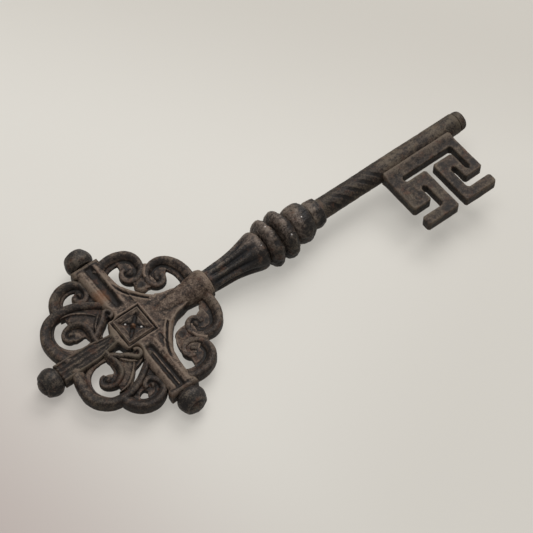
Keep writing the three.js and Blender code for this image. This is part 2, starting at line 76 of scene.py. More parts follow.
Points = Sequence[tuple[float, ...]]
Place = tuple[float, float, float]
Spot = tuple[float, float, float, float]  # x, y, z and radius, mm
Colour = tuple[float, float, float]
Ramp = tuple[float, float]  # where something sets in, and where it is full


class Half(Enum):
    """One of two mirrored halves: the value is a sign."""

    @property
    def word(self) -> str:
        """The half's name in node names."""
        return self.name.lower()


class Side(Half):
    """Side of the bow: the value is the sign of Y."""

    LEFT = 1
    RIGHT = -1


class Face(Half):
    """Face of the bow: the value is the sign of Z."""

    FRONT = 1
    BACK = -1


class Slot(Enum):
    """Material slots of the pieces."""

    ARM = "arm"
    SCROLL = "scroll"
    RELIEF = "relief"
    TURNED = "turned"
    SHANK = "shank"


# Node trees


def operation(kind: str, swapped: bool = False) -> Callable[[Wire, Any], Wire]:
    """A method of Wire that adds one Math node.

    Args:
        kind: The node's operation.
        swapped: Whether the wire comes second.

    Returns:
        The method.
    """

    def method(self: Wire, other: Any) -> Wire:
        """The wire and another wire or number, worked out by the node."""
        return self.graph.maths(kind, *((other, self) if swapped else (self, other)))

    return method


@dataclass(frozen=True)
class Wire:
    """A node's output. Arithmetic on it adds Math nodes to its tree."""

    graph: Graph
    socket: bpy.types.NodeSocket | None

    __add__ = operation("ADD")
    __radd__ = operation("ADD", swapped=True)
    __sub__ = operation("SUBTRACT")
    __rsub__ = operation("SUBTRACT", swapped=True)
    __mul__ = operation("MULTIPLY")
    __rmul__ = operation("MULTIPLY", swapped=True)
    __truediv__ = operation("DIVIDE")
    __rtruediv__ = operation("DIVIDE", swapped=True)
    __pow__ = operation("POWER")
    __rpow__ = operation("POWER", swapped=True)


class Graph:
    """A node tree being built."""

    def __init__(self, tree: bpy.types.NodeTree) -> None:
        """Empties a tree and starts on it."""
        tree.nodes.clear()
        self.tree = tree

    @classmethod
    def of(cls, owner: bpy.types.Material | bpy.types.World) -> Graph:
        """The tree of a material or a world."""
        owner.use_nodes = True
        return cls(owner.node_tree)

    def node(
        self,
        kind: str,
        settings: Mapping[str, Any] | None = None,
        inputs: Mapping[str | int, Any] | None = None,
        output: str | int = 0,
    ) -> Wire:
        """Adds a node.

        Args:
            kind: The node's type.
            settings: Properties, set first.
            inputs: Values or wires by socket name or number.
            output: The socket that the result wraps.

        Returns:
            The chosen output.
        """
        node = self.tree.nodes.new(kind)
        for name, value in (settings or {}).items():
            setattr(node, name, value)
        for key, value in (inputs or {}).items():
            if isinstance(value, Wire):
                self.tree.links.new(value.socket, node.inputs[key])
            else:
                node.inputs[key].default_value = value
        return Wire(self, node.outputs[output] if node.outputs else None)

    def other(self, wire: Wire, output: str | int) -> Wire:
        """Another output of the node that a wire comes from."""
        return Wire(self, wire.socket.node.outputs[output])

    def maths(self, kind: str, *values: Any) -> Wire:
        """A Math node on numbers."""
        return self.node("ShaderNodeMath", {"operation": kind}, dict(enumerate(values)))

    def vector(self, kind: str, *values: Any, output: str = "Vector") -> Wire:
        """A Vector Math node; its output is Value where it gives a number."""
        return self.node("ShaderNodeVectorMath", {"operation": kind}, dict(enumerate(values)), output)

    def parts(self, vector: Wire) -> tuple[Wire, Wire, Wire]:
        """The three numbers of a vector."""
        wire = self.node("ShaderNodeSeparateXYZ", inputs={0: vector})
        return wire, self.other(wire, 1), self.other(wire, 2)

    def joined(self, *numbers: Any) -> Wire:
        """A vector from three numbers."""
        return self.node("ShaderNodeCombineXYZ", inputs=dict(enumerate(numbers)))

    def mixed(self, factor: Wire, first: Wire | Colour, second: Wire | Colour) -> Wire:
        """Two colours mixed: the first where the factor is 0, the second where it is 1."""
        first, second = (value if isinstance(value, Wire) else (*value, 1.0) for value in (first, second))
        return self.node("ShaderNodeMix", {"data_type": "RGBA"}, {0: factor, 6: first, 7: second}, 2)

    def seen_rays(self) -> Wire:
        """1 for rays from the camera, straight or by a gloss or through glass.

        Returns:
            The number.
        """
        camera = self.node("ShaderNodeLightPath")
        glossy, glassy = self.other(camera, "Is Glossy Ray"), self.other(camera, "Is Transmission Ray")
        return self.maths("MAXIMUM", camera, self.maths("MAXIMUM", glossy, glassy))

    def ramped(self, value: Wire, low: float, high: float) -> Wire:
        """0 below low, 1 above high and smooth between."""
        settings = {"interpolation_type": "SMOOTHSTEP"}
        return self.node("ShaderNodeMapRange", settings, {"Value": value, "From Min": low, "From Max": high})


class ModifierTree(Graph):
    """A Geometry Nodes tree with named inputs; each kind has its label, its numbers and its body."""

    label: str
    numbers: Mapping[str, float | int]

    def __init__(self) -> None:
        """Makes the tree's interface and its nodes."""
        super().__init__(bpy.data.node_groups.new(self.label, "GeometryNodeTree"))
        face = self.tree.interface
        for way in ("INPUT", "OUTPUT"):
            face.new_socket("Geometry", in_out=way, socket_type="NodeSocketGeometry")
        for label, value in self.numbers.items():
            kind = "NodeSocketInt" if isinstance(value, int) else "NodeSocketFloat"
            face.new_socket(label, in_out="INPUT", socket_type=kind).default_value = value
        face.new_socket("Material", in_out="INPUT", socket_type="NodeSocketMaterial")
        self.entry = self.node("NodeGroupInput")
        self.body()

    def body(self) -> None:
        """Adds the tree's nodes."""
        raise NotImplementedError

    def given(self, label: str) -> Wire:
        """One of the tree's inputs."""
        return self.other(self.entry, label)

    def end(self, geometry: Wire) -> None:
        """Ends the tree in Realize Instances and Set Material.

        Args:
            geometry: What the tree has made.
        """
        real = self.node("GeometryNodeRealizeInstances", inputs={"Geometry": geometry})
        inputs = {"Geometry": real, "Material": self.given("Material")}
        dressed = self.node("GeometryNodeSetMaterial", inputs=inputs)
        self.node("NodeGroupOutput", inputs={"Geometry": dressed})

    def attribute(self, label: str) -> Wire:
        """A named number on the geometry."""
        return self.node("GeometryNodeInputNamedAttribute", {"data_type": "FLOAT"}, {"Name": label})

    def moved(self, geometry: Wire, **place: Wire) -> Wire:
        """The geometry with each point at a Position or moved by an Offset."""
        return self.node("GeometryNodeSetPosition", inputs={"Geometry": geometry} | place)

    def put_on(self, piece: bpy.types.Object, material: bpy.types.Material, **values: float | int) -> None:
        """Adds the tree to a piece as a modifier.

        Args:
            piece: The object.
            material: What Set Material gives it.
            **values: Named inputs, with underscores for spaces.
        """
        modifier = piece.modifiers.new(self.label, "NODES")
        modifier.node_group = self.tree
        wanted = {label.replace("_", " "): value for label, value in values.items()} | {"Material": material}
        for item in self.tree.interface.items_tree:
            if item.item_type == "SOCKET" and item.in_out == "INPUT" and item.name in wanted:
                modifier[item.identifier] = wanted[item.name]


class TurnedTree(ModifierTree):
    """Turns a profile about the X axis, with lobes that may twist along it."""

    label = "turned"
    numbers = {"Segments": 96, "Starts": 6, "Turns per Metre": 0.0, "Sharpness": 1.0}
    guard = 0.0005  # share of a row that keeps rounding from moving a point to the row before
    weld = 2e-6  # m

    def body(self) -> None:
        """One grid row for each profile point, bent round the axis."""
        profile, segments = self.given("Geometry"), self.given("Segments")
        rows = self.node("GeometryNodeAttributeDomainSize", {"component": "MESH"}, {"Geometry": profile})
        columns = segments + 1
        grid = self.node("GeometryNodeMeshGrid", inputs={"Vertices X": rows, "Vertices Y": columns})
        index = self.node("GeometryNodeInputIndex")
        row = self.maths("FLOOR", index / columns + self.guard)
        column = index - row * columns

        def sampled(kind: str, value: Wire) -> Wire:
            """What the row's profile point holds."""
            inputs = {"Geometry": profile, "Index": row, "Value": value}
            return self.node("GeometryNodeSampleIndex", {"data_type": kind}, inputs)

        station, radius, _ = self.parts(sampled("FLOAT_VECTOR", self.node("GeometryNodeInputPosition")))
        lobe = sampled("FLOAT", self.attribute("lobe"))
        angle = column * math.tau / segments
        turn = (angle - station * self.given("Turns per Metre") * math.tau) * self.given("Starts")
        wave = (self.maths("COSINE", turn) * 0.5 + 0.5) ** self.given("Sharpness") * 2.0 - 1.0
        reach = radius + lobe * wave
        around = self.joined(station, reach * self.maths("COSINE", angle), reach * self.maths("SINE", angle))
        bent = self.moved(grid, Position=around)
        self.end(self.node("GeometryNodeMergeByDistance", inputs={"Geometry": bent, "Distance": self.weld}))


class BandTree(ModifierTree):
    """Sweeps a rounded section along a path, with the path's own half width at each point."""

    label = "band"
    numbers = {
        "Side Fullness": 0.75, "Crown Fullness": 0.7, "Groove": 0.0,
        "Groove Width": 0.3, "Step": 0.0004, "Ring": 36,
    }

    def body(self) -> None:
        """The section is a superellipse with a groove down its middle."""

        def full(value: Wire, fullness: str) -> Wire:
            """A circle's coordinate pushed outwards."""
            return self.maths("SIGN", value) * self.maths("ABSOLUTE", value) ** self.given(fullness)

        circle = {"Resolution": self.given("Ring"), "Radius": 1.0}
        ring = self.node("GeometryNodeCurvePrimitiveCircle", inputs=circle)
        across, up, _ = self.parts(self.node("GeometryNodeInputPosition"))
        wide = full(across, "Side Fullness")
        nearness = wide / self.given("Groove Width")
        dip = self.maths("EXPONENT", nearness * nearness * -1.0) * self.given("Groove")
        section = self.moved(ring, Position=self.joined(wide, full(up, "Crown Fullness") * (1.0 - dip), 0.0))
        line = self.node("GeometryNodeMeshToCurve", inputs={"Mesh": self.given("Geometry")})
        smooth = self.node("GeometryNodeCurveSplineType", {"spline_type": "CATMULL_ROM"}, {"Curve": line})
        even = self.node("GeometryNodeResampleCurve", {"mode": "LENGTH"}, {
            "Curve": smooth, "Length": self.given("Step"),
        })
        level = self.node("GeometryNodeSetCurveNormal", {"mode": "Z_UP"}, {"Curve": even})
        half_width = self.attribute("half_width")
        sized = self.node("GeometryNodeSetCurveRadius", inputs={"Curve": level, "Radius": half_width})
        swept = self.node("GeometryNodeCurveToMesh", inputs={
            "Curve": sized, "Profile Curve": section, "Scale": half_width, "Fill Caps": True,
        })
        x, y, z = self.parts(self.node("GeometryNodeInputPosition"))
        height = z / self.attribute("half_width") * self.attribute("half_height")
        self.end(self.moved(swept, Position=self.joined(x, y, height)))


class SkinTree(ModifierTree):
    """Gives a piece its sand-cast skin and stores how far each point stands proud."""

    label = "cast skin"
    numbers = {
        "Coarse Height": 0.00014, "Fine Height": 0.00009, "Coarse Scale": 170.0, "Fine Scale": 650.0,
        "Wear Depth": 0.0001, "Wear Reach": 8, "Cavity Depth": 0.0006, "Cavity Reach": 90, "Seed": 3.0,
    }
    detail = 3.0  # of the noise

    def body(self) -> None:
        """Two sizes of noise move the surface along its normal."""
        lift = self.swell("Coarse") + self.swell("Fine")
        normal = self.node("GeometryNodeInputNormal")
        offset = self.node("ShaderNodeVectorMath", {"operation": "SCALE"}, {0: normal, "Scale": lift})
        cast = self.moved(self.given("Geometry"), Offset=offset)
        for label in ("Wear", "Cavity"):
            cast = self.proud_of(cast, label)
        self.end(self.node("GeometryNodeSetShadeSmooth", inputs={"Geometry": cast}))

    def swell(self, label: str) -> Wire:
        """One size of noise, centred on nought.

        Args:
            label: Which scale and height it takes.

        Returns:
            How far it lifts each point, in m.
        """
        noise = self.node("ShaderNodeTexNoise", {"noise_dimensions": "4D"}, {
            "Vector": self.node("GeometryNodeInputPosition"), "W": self.given("Seed"),
            "Scale": self.given(f"{label} Scale"), "Detail": self.detail,
        })
        return (noise - 0.5) * 2.0 * self.given(f"{label} Height")

    def proud_of(self, geometry: Wire, label: str) -> Wire:
        """Stores how far each point stands above its surroundings, as a share of a depth.

        Args:
            geometry: The mesh.
            label: Which depth and reach it takes. In small letters it names the attribute.

        Returns:
            The mesh with the attribute.
        """
        place = self.node("GeometryNodeInputPosition")
        calm = self.node("GeometryNodeBlurAttribute", {"data_type": "FLOAT_VECTOR"}, {
            "Value": place, "Iterations": self.given(f"{label} Reach"),
        })
        rise = self.vector("SUBTRACT", place, calm)
        proud = self.vector("DOT_PRODUCT", rise, self.node("GeometryNodeInputNormal"), output="Value")
        return self.node("GeometryNodeStoreNamedAttribute", {"data_type": "FLOAT", "domain": "POINT"}, {
            "Geometry": geometry, "Name": label.lower(), "Value": proud / self.given(f"{label} Depth"),
        })


# Finishes


@dataclass(frozen=True)
class IronFinish:
    """Aged cast iron: near-black hollows, brown worn ridges, dusty bloom, red oxide spots and painted
    highlight specks.
    """

    name: str
    hollow: Colour
    body: Colour
    worn: Colour
    brown: Colour
    bloom: Colour = (0.1, 0.083, 0.058)
    oxide: Colour = (0.075, 0.034, 0.02)
    rust: Colour = (0.15, 0.066, 0.03)
    # colour of the painted highlights, small specks of reflected light
    glint: Colour = (0.45, 0.42, 0.4)
    bloom_share: float = 0.5
    oxide_share: float = 0.5
    rust_share: float = 0.55
    roughness: tuple[float, float] = (0.42, 0.7)
    patchiness: float = 2.2  # how much large clouds darken and lighten the iron
    metallic: float = 0.1
    specular: float = 0.14
    rust_spots: tuple[Spot, ...] = ()
    rust_blur: float = 6.0  # mm
    rust_core: float = 0.2  # of a spot's radius
    painted_highlights: tuple[Spot, ...] = ()  # painted highlights: bright specks of reflected light
    glint_core: float = 0.5
    wear_weight: float = 0.6  # what each adds to the height that parts the hollows from the ridges
    cavity_weight: float = 0.75
    darkened_weight: float = 2.0
    mottle_weight: float = 3.0
    grain_weight: float = 2.4
    bump_strength: float = 0.8
    bump_distance: float = 0.0003  # m
    cloud_scale: float = 120.0
    oxide_scale: float = 260.0
    mottle_scale: float = 480.0
    bump_scale: float = 1100.0
    grain_scale: float = 1700.0
    hollow_range: Ramp = (-0.9, 0.25)  # heights over which the hollows' black ends
    worn_range: Ramp = (0.5, 1.7)
    brown_range: Ramp = (0.15, 0.9)
    bloom_range: Ramp = (0.05, 0.3)
    oxide_range: Ramp = (0.04, 0.22)

    def build(self) -> bpy.types.Material:
        """Makes the material.

        Returns:
            A material whose pattern is in object coordinates.
        """
        material = bpy.data.materials.new(self.name)
        graph = Graph.of(material)
        place = graph.other(graph.node("ShaderNodeTexCoord"), "Object")
        wear, cavity, patina_and_shading = (
            graph.node("ShaderNodeAttribute", {"attribute_name": label}, output="Fac")
            for label in ("wear", "cavity", "patina_and_shading")
        )

        def noise(scale: float, detail: float = 4.0, roughness: float = 0.6) -> Wire:
            """A noise in object coordinates, centred on nought.

            Args:
                scale: Its scale.
                detail: Its finer layers.
                roughness: How strong those are.

            Returns:
                The noise.
            """
            return graph.node("ShaderNodeTexNoise", inputs={
                "Vector": place, "Scale": scale, "Detail": detail, "Roughness": roughness,
            }) - 0.5

        def near(spot: Spot, core: float, blur: Wire) -> Wire:
            """1 in a spot's core, which is a share of its radius, and 0 outside the spot.

            Args:
                spot: The spot.
                core: The core's share of the radius.
                blur: What frays the edge, in m.

            Returns:
                The number.
            """
            *middle, radius = (value * MM for value in spot)
            away = graph.vector("DISTANCE", place, middle, output="Value")
            return 1.0 - graph.ramped(away + blur, core * radius, radius)

        cloud, mottle = noise(self.cloud_scale), noise(self.mottle_scale)
        grain = noise(self.grain_scale, detail=3.0)
        # The patina attribute also holds painted light and shade on the rings: below nought it darkens the
        # iron, above it browns it.
        darkened = graph.maths("MINIMUM", patina_and_shading, 0.0)
        height = wear * self.wear_weight + cavity * self.cavity_weight + darkened * self.darkened_weight
        height += mottle * self.mottle_weight + grain * self.grain_weight + cloud * self.patchiness
        browned = graph.ramped(patina_and_shading + mottle * 0.9 + cloud * 1.3, *self.brown_range)
        iron = graph.mixed(browned, self.body, self.brown)
        colour = graph.mixed(graph.ramped(height, *self.hollow_range), self.hollow, iron)
        rubbed = graph.ramped(height + grain * 2.0 + patina_and_shading * 0.5, *self.worn_range) * (browned * 0.6 + 0.4)
        colour = graph.mixed(rubbed, colour, self.worn)
        dusty = graph.ramped(cloud + grain * 0.9 + cavity * 0.1, *self.bloom_range) * (darkened + 1.0)
        colour = graph.mixed(dusty * self.bloom_share, colour, self.bloom)
        oxidised = graph.ramped(noise(self.oxide_scale, detail=5.0) + grain * 0.4, *self.oxide_range)
        colour = graph.mixed(oxidised * self.oxide_share, colour, self.oxide)
        for spot in self.rust_spots:
            rusty = near(spot, self.rust_core, mottle * self.rust_blur * MM)
            colour = graph.mixed(rusty * self.rust_share, colour, self.rust)
        # Painted highlights: bright specks of reflected light, mixed over the iron at fixed spots.
        for spot in self.painted_highlights:
            painted_highlight = near(spot, self.glint_core, grain * spot[3] * MM)
            colour = graph.mixed(painted_highlight, colour, self.glint)
        low, high = self.roughness
        rough = (grain * 0.6 + cloud * 0.4) * 1.6 * (high - low) + (low + high) / 2
        bump = graph.node("ShaderNodeBump", inputs={
            "Strength": self.bump_strength, "Distance": self.bump_distance,
            "Height": noise(self.bump_scale, detail=5.0, roughness=0.65) + mottle * 0.9,
        })
        shader = graph.node("ShaderNodeBsdfPrincipled", inputs={
            "Base Color": colour, "Roughness": rough, "Metallic": self.metallic,
            "Specular IOR Level": self.specular, "Normal": bump,
        })
        graph.node("ShaderNodeOutputMaterial", inputs={"Surface": shader})
        return material


# Each finish gives its name, then its hollow, body, worn and brown colours
FINISHES = {
    Slot.ARM: IronFinish(
        "arm_iron",
        (0.0102, 0.0082, 0.0072), (0.0182, 0.0139, 0.0116), (0.15, 0.11, 0.083), (0.056, 0.038, 0.028),
        rust_spots=((-70.5, 19.5, 3.0, 5.5),),
    ),
    Slot.SCROLL: IronFinish(
        "scroll_iron",
        (0.0094, 0.0081, 0.0074), (0.0154, 0.0121, 0.0106), (0.11, 0.08, 0.061), (0.05, 0.034, 0.0255),
        bloom_share=0.35,
    ),
    Slot.RELIEF: IronFinish(
        "relief_iron",
        (0.0096, 0.0079, 0.0072), (0.0168, 0.0129, 0.011), (0.14, 0.102, 0.077), (0.055, 0.0375, 0.0275),
        rust_spots=((-66.9, 0.0, 4.4, 1.8),),
        # painted highlights: two bright specks of reflected light in the stud's hollows
        painted_highlights=((-69.0, 2.8, 3.0, 0.52), (-64.3, -2.2, 3.0, 0.52)),
    ),
    Slot.TURNED: IronFinish(
        "turned_iron",
        (0.0076, 0.0076, 0.0083), (0.0158, 0.0136, 0.0128), (0.125, 0.098, 0.08), (0.055, 0.041, 0.0335),
        roughness=(0.3, 0.6),
        bloom_share=0.35,
        # painted highlights: bright specks of reflected light on the rings and the neck
        painted_highlights=(
            (11.0, -7.1, 8.9, 0.5), (20.0, -2.4, 8.7, 0.4), (3.6, 1.9, 10.9, 0.4), (-2.5, -3.2, 8.0, 0.4),
        ),
    ),
    Slot.SHANK: IronFinish(
        "shank_iron",
        (0.0082, 0.0070, 0.0064), (0.0145, 0.0113, 0.0097), (0.086, 0.064, 0.048), (0.042, 0.0305, 0.0225),
        bloom_share=0.45,
        patchiness=1.0,
    ),
}


# Making and finishing meshes


@dataclass
class Foundry:
    """Turns rough shapes into finished castings and gives them to the frame."""

    materials: dict[Slot, bpy.types.Material] = field(
        default_factory=lambda: {slot: finish.build() for slot, finish in FINISHES.items()}
    )
    turned: TurnedTree = field(default_factory=TurnedTree)
    band: BandTree = field(default_factory=BandTree)
    skin: SkinTree = field(default_factory=SkinTree)
    tail_shares: Ramp = (0.35, 0.7)  # where along its path a band falls to its end's height
    count: int = 0

    @staticmethod
    def rough(vertices: np.ndarray | Points, faces: Sequence[Sequence[int]] = (),
              edges: Sequence[tuple[int, int]] = (), **numbers: np.ndarray) -> bpy.types.Object:
        """Makes an object from points in millimetres from the middle of the bow.

        Args:
            vertices: Points in mm.
            faces: Faces by point number.
            edges: Edges by point number.
            **numbers: Named numbers for each point.

        Returns:
            The object, in the key's frame in metres.
        """
        mesh = bpy.data.meshes.new("rough")
        placed = (np.asarray(vertices, float) + (BOW_X, 0.0, 0.0)) * MM
        mesh.from_pydata(placed.tolist(), edges, faces)
        for label, values in numbers.items():
            mesh.attributes.new(label, "FLOAT", "POINT").data.foreach_set("value", values.astype(np.float32))
        mesh.update()
        piece = bpy.data.objects.new("rough", mesh)
        bpy.context.scene.collection.objects.link(piece)
        return piece

    @staticmethod
    def settled(piece: bpy.types.Object) -> bpy.types.Object:
        """Replaces a piece's mesh by its evaluated one and removes the modifiers.

        Args:
            piece: The object.

        Returns:
            The same object.
        """
        evaluated = piece.evaluated_get(bpy.context.evaluated_depsgraph_get())
        mesh = bpy.data.meshes.new_from_object(evaluated)
        piece.modifiers.clear()
        piece.data = mesh
        mesh.name = piece.name
        return piece

    def grown(self, tree: ModifierTree, slot: Slot, rows: np.ndarray, sizes: Mapping[str, float | int],
              **numbers: np.ndarray) -> bpy.types.Object:
        """What a tree makes from a line.

        Args:
            tree: The tree.
            slot: The finish.
            rows: The line's points in mm. Only x and y of each are used.
            sizes: Further inputs of the tree.
            **numbers: Named numbers for each point, in m.

        Returns:
            The shape.
        """
        edges = [(i, i + 1) for i in range(len(rows) - 1)]
        piece = self.rough(rows * (1.0, 1.0, 0.0), edges=edges, **numbers)
        tree.put_on(piece, self.materials[slot], **sizes)
        return self.settled(piece)

    def swept(self, path: Points, half_height: float, end_height: float | None = None,
              **sizes: float | int) -> bpy.types.Object:
        """A band along a path.

        Args:
            path: (x, y, half width) in mm.
            half_height: In mm.
            end_height: The half height that the path's second half falls to.
            **sizes: Further inputs of the band's tree.

        Returns:
            The band.
        """
        rows = np.asarray(path, float)
        fall = eased(np.linspace(0.0, 1.0, len(rows)), *self.tail_shares)
        height = half_height + ((end_height or half_height) - half_height) * fall
        return self.grown(self.band, Slot.SCROLL, rows, sizes,
                          half_width=rows[:, 2] * MM, half_height=height * MM)

    def lathed(self, profile: Points, slot: Slot, **sizes: float | int) -> bpy.types.Object:
        """A turned piece about the X axis.

        Args:
            profile: (station, radius, lobe height) in mm, from the first pole to the last.
            slot: The finish.
            **sizes: Further inputs of the turned tree.

        Returns:
            The closed piece.
        """
        rows = np.asarray(profile, float)
        return self.grown(self.turned, slot, rows, sizes, lobe=rows[:, 2] * MM)

    def cast(self, profile: Points, slot: Slot, **sizes: float | int) -> bpy.types.Object:
        """A turned piece with the even skin of the fused ones."""
        return self.fused([self.lathed(profile, slot, **sizes)])

    def hewn(self, shape: bmesh.types.BMesh, scale: Place = (1.0, 1.0, 1.0),
             shift: Place = (0.0, 0.0, 0.0)) -> bpy.types.Object:
        """Makes an object from a shape in mm, scaled and then shifted, and frees the shape.

        Args:
            shape: The shape.
            scale: Its factors along x, y and z.
            shift: How far it moves.

        Returns:
            The object.
        """
        shape.verts.index_update()
        vertices = np.array([tuple(v.co) for v in shape.verts]) * scale + shift
        faces = [[v.index for v in f.verts] for f in shape.faces]
        shape.free()
        return self.rough(vertices, faces)

    def dome(self, x: float, y: float, radius: float, half_height: float) -> bpy.types.Object:
        """An eye or bud: a ball drawn out to a half height.

        Args:
            x: Its middle, in mm.
            y: Likewise.
            radius: In mm.
            half_height: In mm.

        Returns:
            The ball.
        """
        shape = bmesh.new()
        bmesh.ops.create_uvsphere(shape, u_segments=48, v_segments=32, radius=1.0)
        return self.hewn(shape, (radius, radius, half_height), (x, y, 0.0))

    def slab(self, outline: np.ndarray, half_height: float) -> bpy.types.Object:
        """A flat plate from an outline in mm.

        Args:
            outline: Corners in order.
            half_height: In mm.

        Returns:
            The plate, centred on z = 0.
        """
        shape = bmesh.new()
        bottom = shape.faces.new([shape.verts.new((x, y, -half_height)) for x, y in outline])
        top = bmesh.ops.extrude_face_region(shape, geom=[bottom])["geom"]
        for vertex in (v for v in top if isinstance(v, bmesh.types.BMVert)):
            vertex.co.z = half_height
        bmesh.ops.triangulate(shape, faces=shape.faces[:])
        bmesh.ops.recalc_face_normals(shape, faces=shape.faces[:])
        return self.hewn(shape)

    def plate(self, corners: np.ndarray, half_height: float) -> bpy.types.Object:
        """A thin plate inside a smooth outline in mm."""
        return self.slab(spline([*corners, corners[0]], 5)[:-1], half_height)

    def fused(self, parts: Sequence[bpy.types.Object], voxel: float = 0.28,
              smoothing: int = 2) -> bpy.types.Object:
        """Casts rough parts into one closed skin.

        Args:
            parts: Closed rough parts, which are used up.
            voxel: Size of the skin's faces in mm.
            smoothing: Rounds of smoothing.

        Returns:
            The fused piece.
        """
        piece = parts[0]
        if len(parts) > 1:
            with bpy.context.temp_override(active_object=piece, selected_editable_objects=list(parts)):
                bpy.ops.object.join()
        remesh = piece.modifiers.new("skin", "REMESH")
        remesh.mode = "VOXEL"
        remesh.voxel_size = voxel * MM
        remesh.use_smooth_shade = True
        smooth = piece.modifiers.new("smooth", "SMOOTH")
        smooth.factor = 0.5
        smooth.iterations = smoothing
        return self.settled(piece)

    @staticmethod
    def places(piece: bpy.types.Object) -> np.ndarray:
        """A piece's points in mm from the bow's middle.

        Args:
            piece: The object.

        Returns:
            One row for each point.
        """
        flat = np.empty(len(piece.data.vertices) * 3, np.float32)
        piece.data.vertices.foreach_get("co", flat)
        return flat.reshape(-1, 3).astype(float) / MM - (BOW_X, 0.0, 0.0)

    @classmethod
    def carved(cls, piece: bpy.types.Object, relief: Callable[[np.ndarray], np.ndarray]) -> bpy.types.Object:
        """Moves every point of a piece.

        Args:
            piece: The piece.
            relief: Takes the points in mm from the bow's middle, and returns the new ones.

        Returns:
            The piece.
        """
        moved = (relief(cls.places(piece)) + (BOW_X, 0.0, 0.0)) * MM
        piece.data.vertices.foreach_set("co", moved.astype(np.float32).ravel())
        piece.data.update()
        return piece

    def finish(self, piece: bpy.types.Object, nodes: Sequence[str], slot: Slot, seed: float,
               patina_and_shading: Callable[[np.ndarray], np.ndarray] | float, **skin: float | int) -> None:
        """Gives a piece its cast skin and finish and hands it to the frame.

        Args:
            piece: The closed piece.
            nodes: The CAD nodes that it stands for. It is named after the first.
            slot: Its finish.
            seed: Where its noise starts.
            patina_and_shading: How brown each place is, from -1 (black hollow) over 0 (dark) to 1; on the
                rings it also holds painted light and shade.
            **skin: Further inputs of the skin's tree.
        """
        piece.name = f"cast_{nodes[0]}"
        places = self.places(piece)
        share = patina_and_shading(places) if callable(patina_and_shading) else np.full(len(places), patina_and_shading)
        layer = piece.data.attributes.new("patina_and_shading", "FLOAT", "POINT")
        layer.data.foreach_set("value", np.clip(share, -1.0, 1.0).astype(np.float32))
        self.skin.put_on(piece, self.materials[slot], Seed=seed, **skin)
        self.settled(piece)
        piece.data.materials.clear()
        piece.data.materials.append(self.materials[slot])
        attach(piece, "root")
        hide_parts(*nodes)
        self.count += 1
        LOG.info("piece %s: %d faces, stands for %s", piece.name, len(piece.data.polygons), ", ".join(nodes))


def spline(points: Points, per_stretch: int = 8) -> np.ndarray:
    """A Catmull-Rom line through points.

    Args:
        points: The points.
        per_stretch: Steps between two points.

    Returns:
        The line's points.
    """
    knots = np.asarray(points, float)
    ends = np.vstack([2 * knots[0] - knots[1], knots, 2 * knots[-1] - knots[-2]])
    out = []
    for i in range(len(knots) - 1):
        a, b, c, d = ends[i:i + 4]
        for t in np.linspace(0, 1, per_stretch, endpoint=False):
            out.append(0.5 * ((2 * b) + (c - a) * t + (2 * a - 5 * b + 4 * c - d) * t**2
                              + (3 * b - a - 3 * c + d) * t**3))
    return np.array([*out, knots[-1]])


def away_from(places: np.ndarray, line: np.ndarray, closed: bool = False) -> np.ndarray:
    """Distance in the XY plane from each place to a line.

    Args:
        places: Points, of which x and y are used.
        line: The line's points.
        closed: Whether the line's end joins its start.

    Returns:
        The distances.
    """
    starts = np.asarray(line, float)[:, :2]
    ends = np.roll(starts, -1, axis=0) if closed else starts[1:]
    starts = starts if closed else starts[:-1]
    nearest = np.full(len(places), np.inf)
    spot = places[:, :2]
    for start, end in zip(starts, ends):
        along = end - start
        share = np.clip(((spot - start) @ along) / max(along @ along, 1e-12), 0, 1)
        nearest = np.minimum(nearest, np.linalg.norm(spot - start - share[:, None] * along, axis=1))
    return nearest


def beside(places: np.ndarray, line: np.ndarray) -> tuple[np.ndarray, np.ndarray]:
    """How far each place lies to the left of a line, and how far along it.

    Args:
        places: Points, of which x and y are used.
        line: The line's points.

    Returns:
        Signed distances to the nearest stretch, and shares from 0 at the start to 1 at the end.
    """
    spot = places[:, :2]
    nearest, signed, share = (np.full(len(places), v) for v in (np.inf, 0.0, 0.0))
    stretches = len(line) - 1
    for i, (start, end) in enumerate(zip(line[:-1, :2], line[1:, :2])):
        along = end - start
        off = spot - start
        t = np.clip((off @ along) / max(along @ along, 1e-12), 0, 1)
        distance = np.linalg.norm(off - t[:, None] * along, axis=1)
        closer = distance < nearest
        side = np.sign(along[0] * off[:, 1] - along[1] * off[:, 0])
        signed = np.where(closer, side * distance, signed)
        share = np.where(closer, (i + t) / stretches, share)
        nearest = np.minimum(nearest, distance)
    return signed, share


def bell(distance: np.ndarray, width: float) -> np.ndarray:
    """1 at no distance, falling away within about a width."""
    return np.exp(-((distance / width) ** 2))


def eased(value: np.ndarray, low: float, high: float) -> np.ndarray:
    """0 below low, 1 above high and smooth between."""
    share = np.clip((value - low) / (high - low), 0, 1)
    return share * share * (3 - 2 * share)


@dataclass(frozen=True)
class Crest:
    """A ridge that runs beside a line; a groove where its size is below nought."""

    place: float  # how far from the line it runs
    size: float
    width: float

    def at(self, distance: np.ndarray) -> np.ndarray:
        """Its height at a distance from the line."""
        return self.size * bell(distance - self.place, self.width)


def edge_fall(edge: np.ndarray, rounding: float) -> np.ndarray:
    """How far a round edge has fallen: 1 at the edge, and 0 from the rounding's radius inwards.

    Args:
        edge: Distances from the edge.
        rounding: The radius.

    Returns:
        The fall as a share.
    """
    share = 1.0 - np.clip(edge / rounding, 0, 1)
    return 1.0 - np.sqrt(np.clip(1.0 - share**2, 0, 1))


def raised(places: np.ndarray, scale: np.ndarray) -> np.ndarray:
    """The places with their heights scaled.

    Args:
        places: Points in mm from the bow's middle.
        scale: A factor for each.

    Returns:
        The new points.
    """
    out = places.copy()
    out[:, 2] *= scale
    return out


def on_side(shares: Points, side: Side) -> np.ndarray:
    """Points in mm on one side, from the left side's shares of FINIAL_REACH.

    Args:
        shares: Points, with or without a width or radius.
        side: Left or right.

    Returns:
        The points in mm.
    """
    points = np.array(shares, float) * FINIAL_REACH
    points[:, 1] *= side.value
    return points


# Sub-assemblies


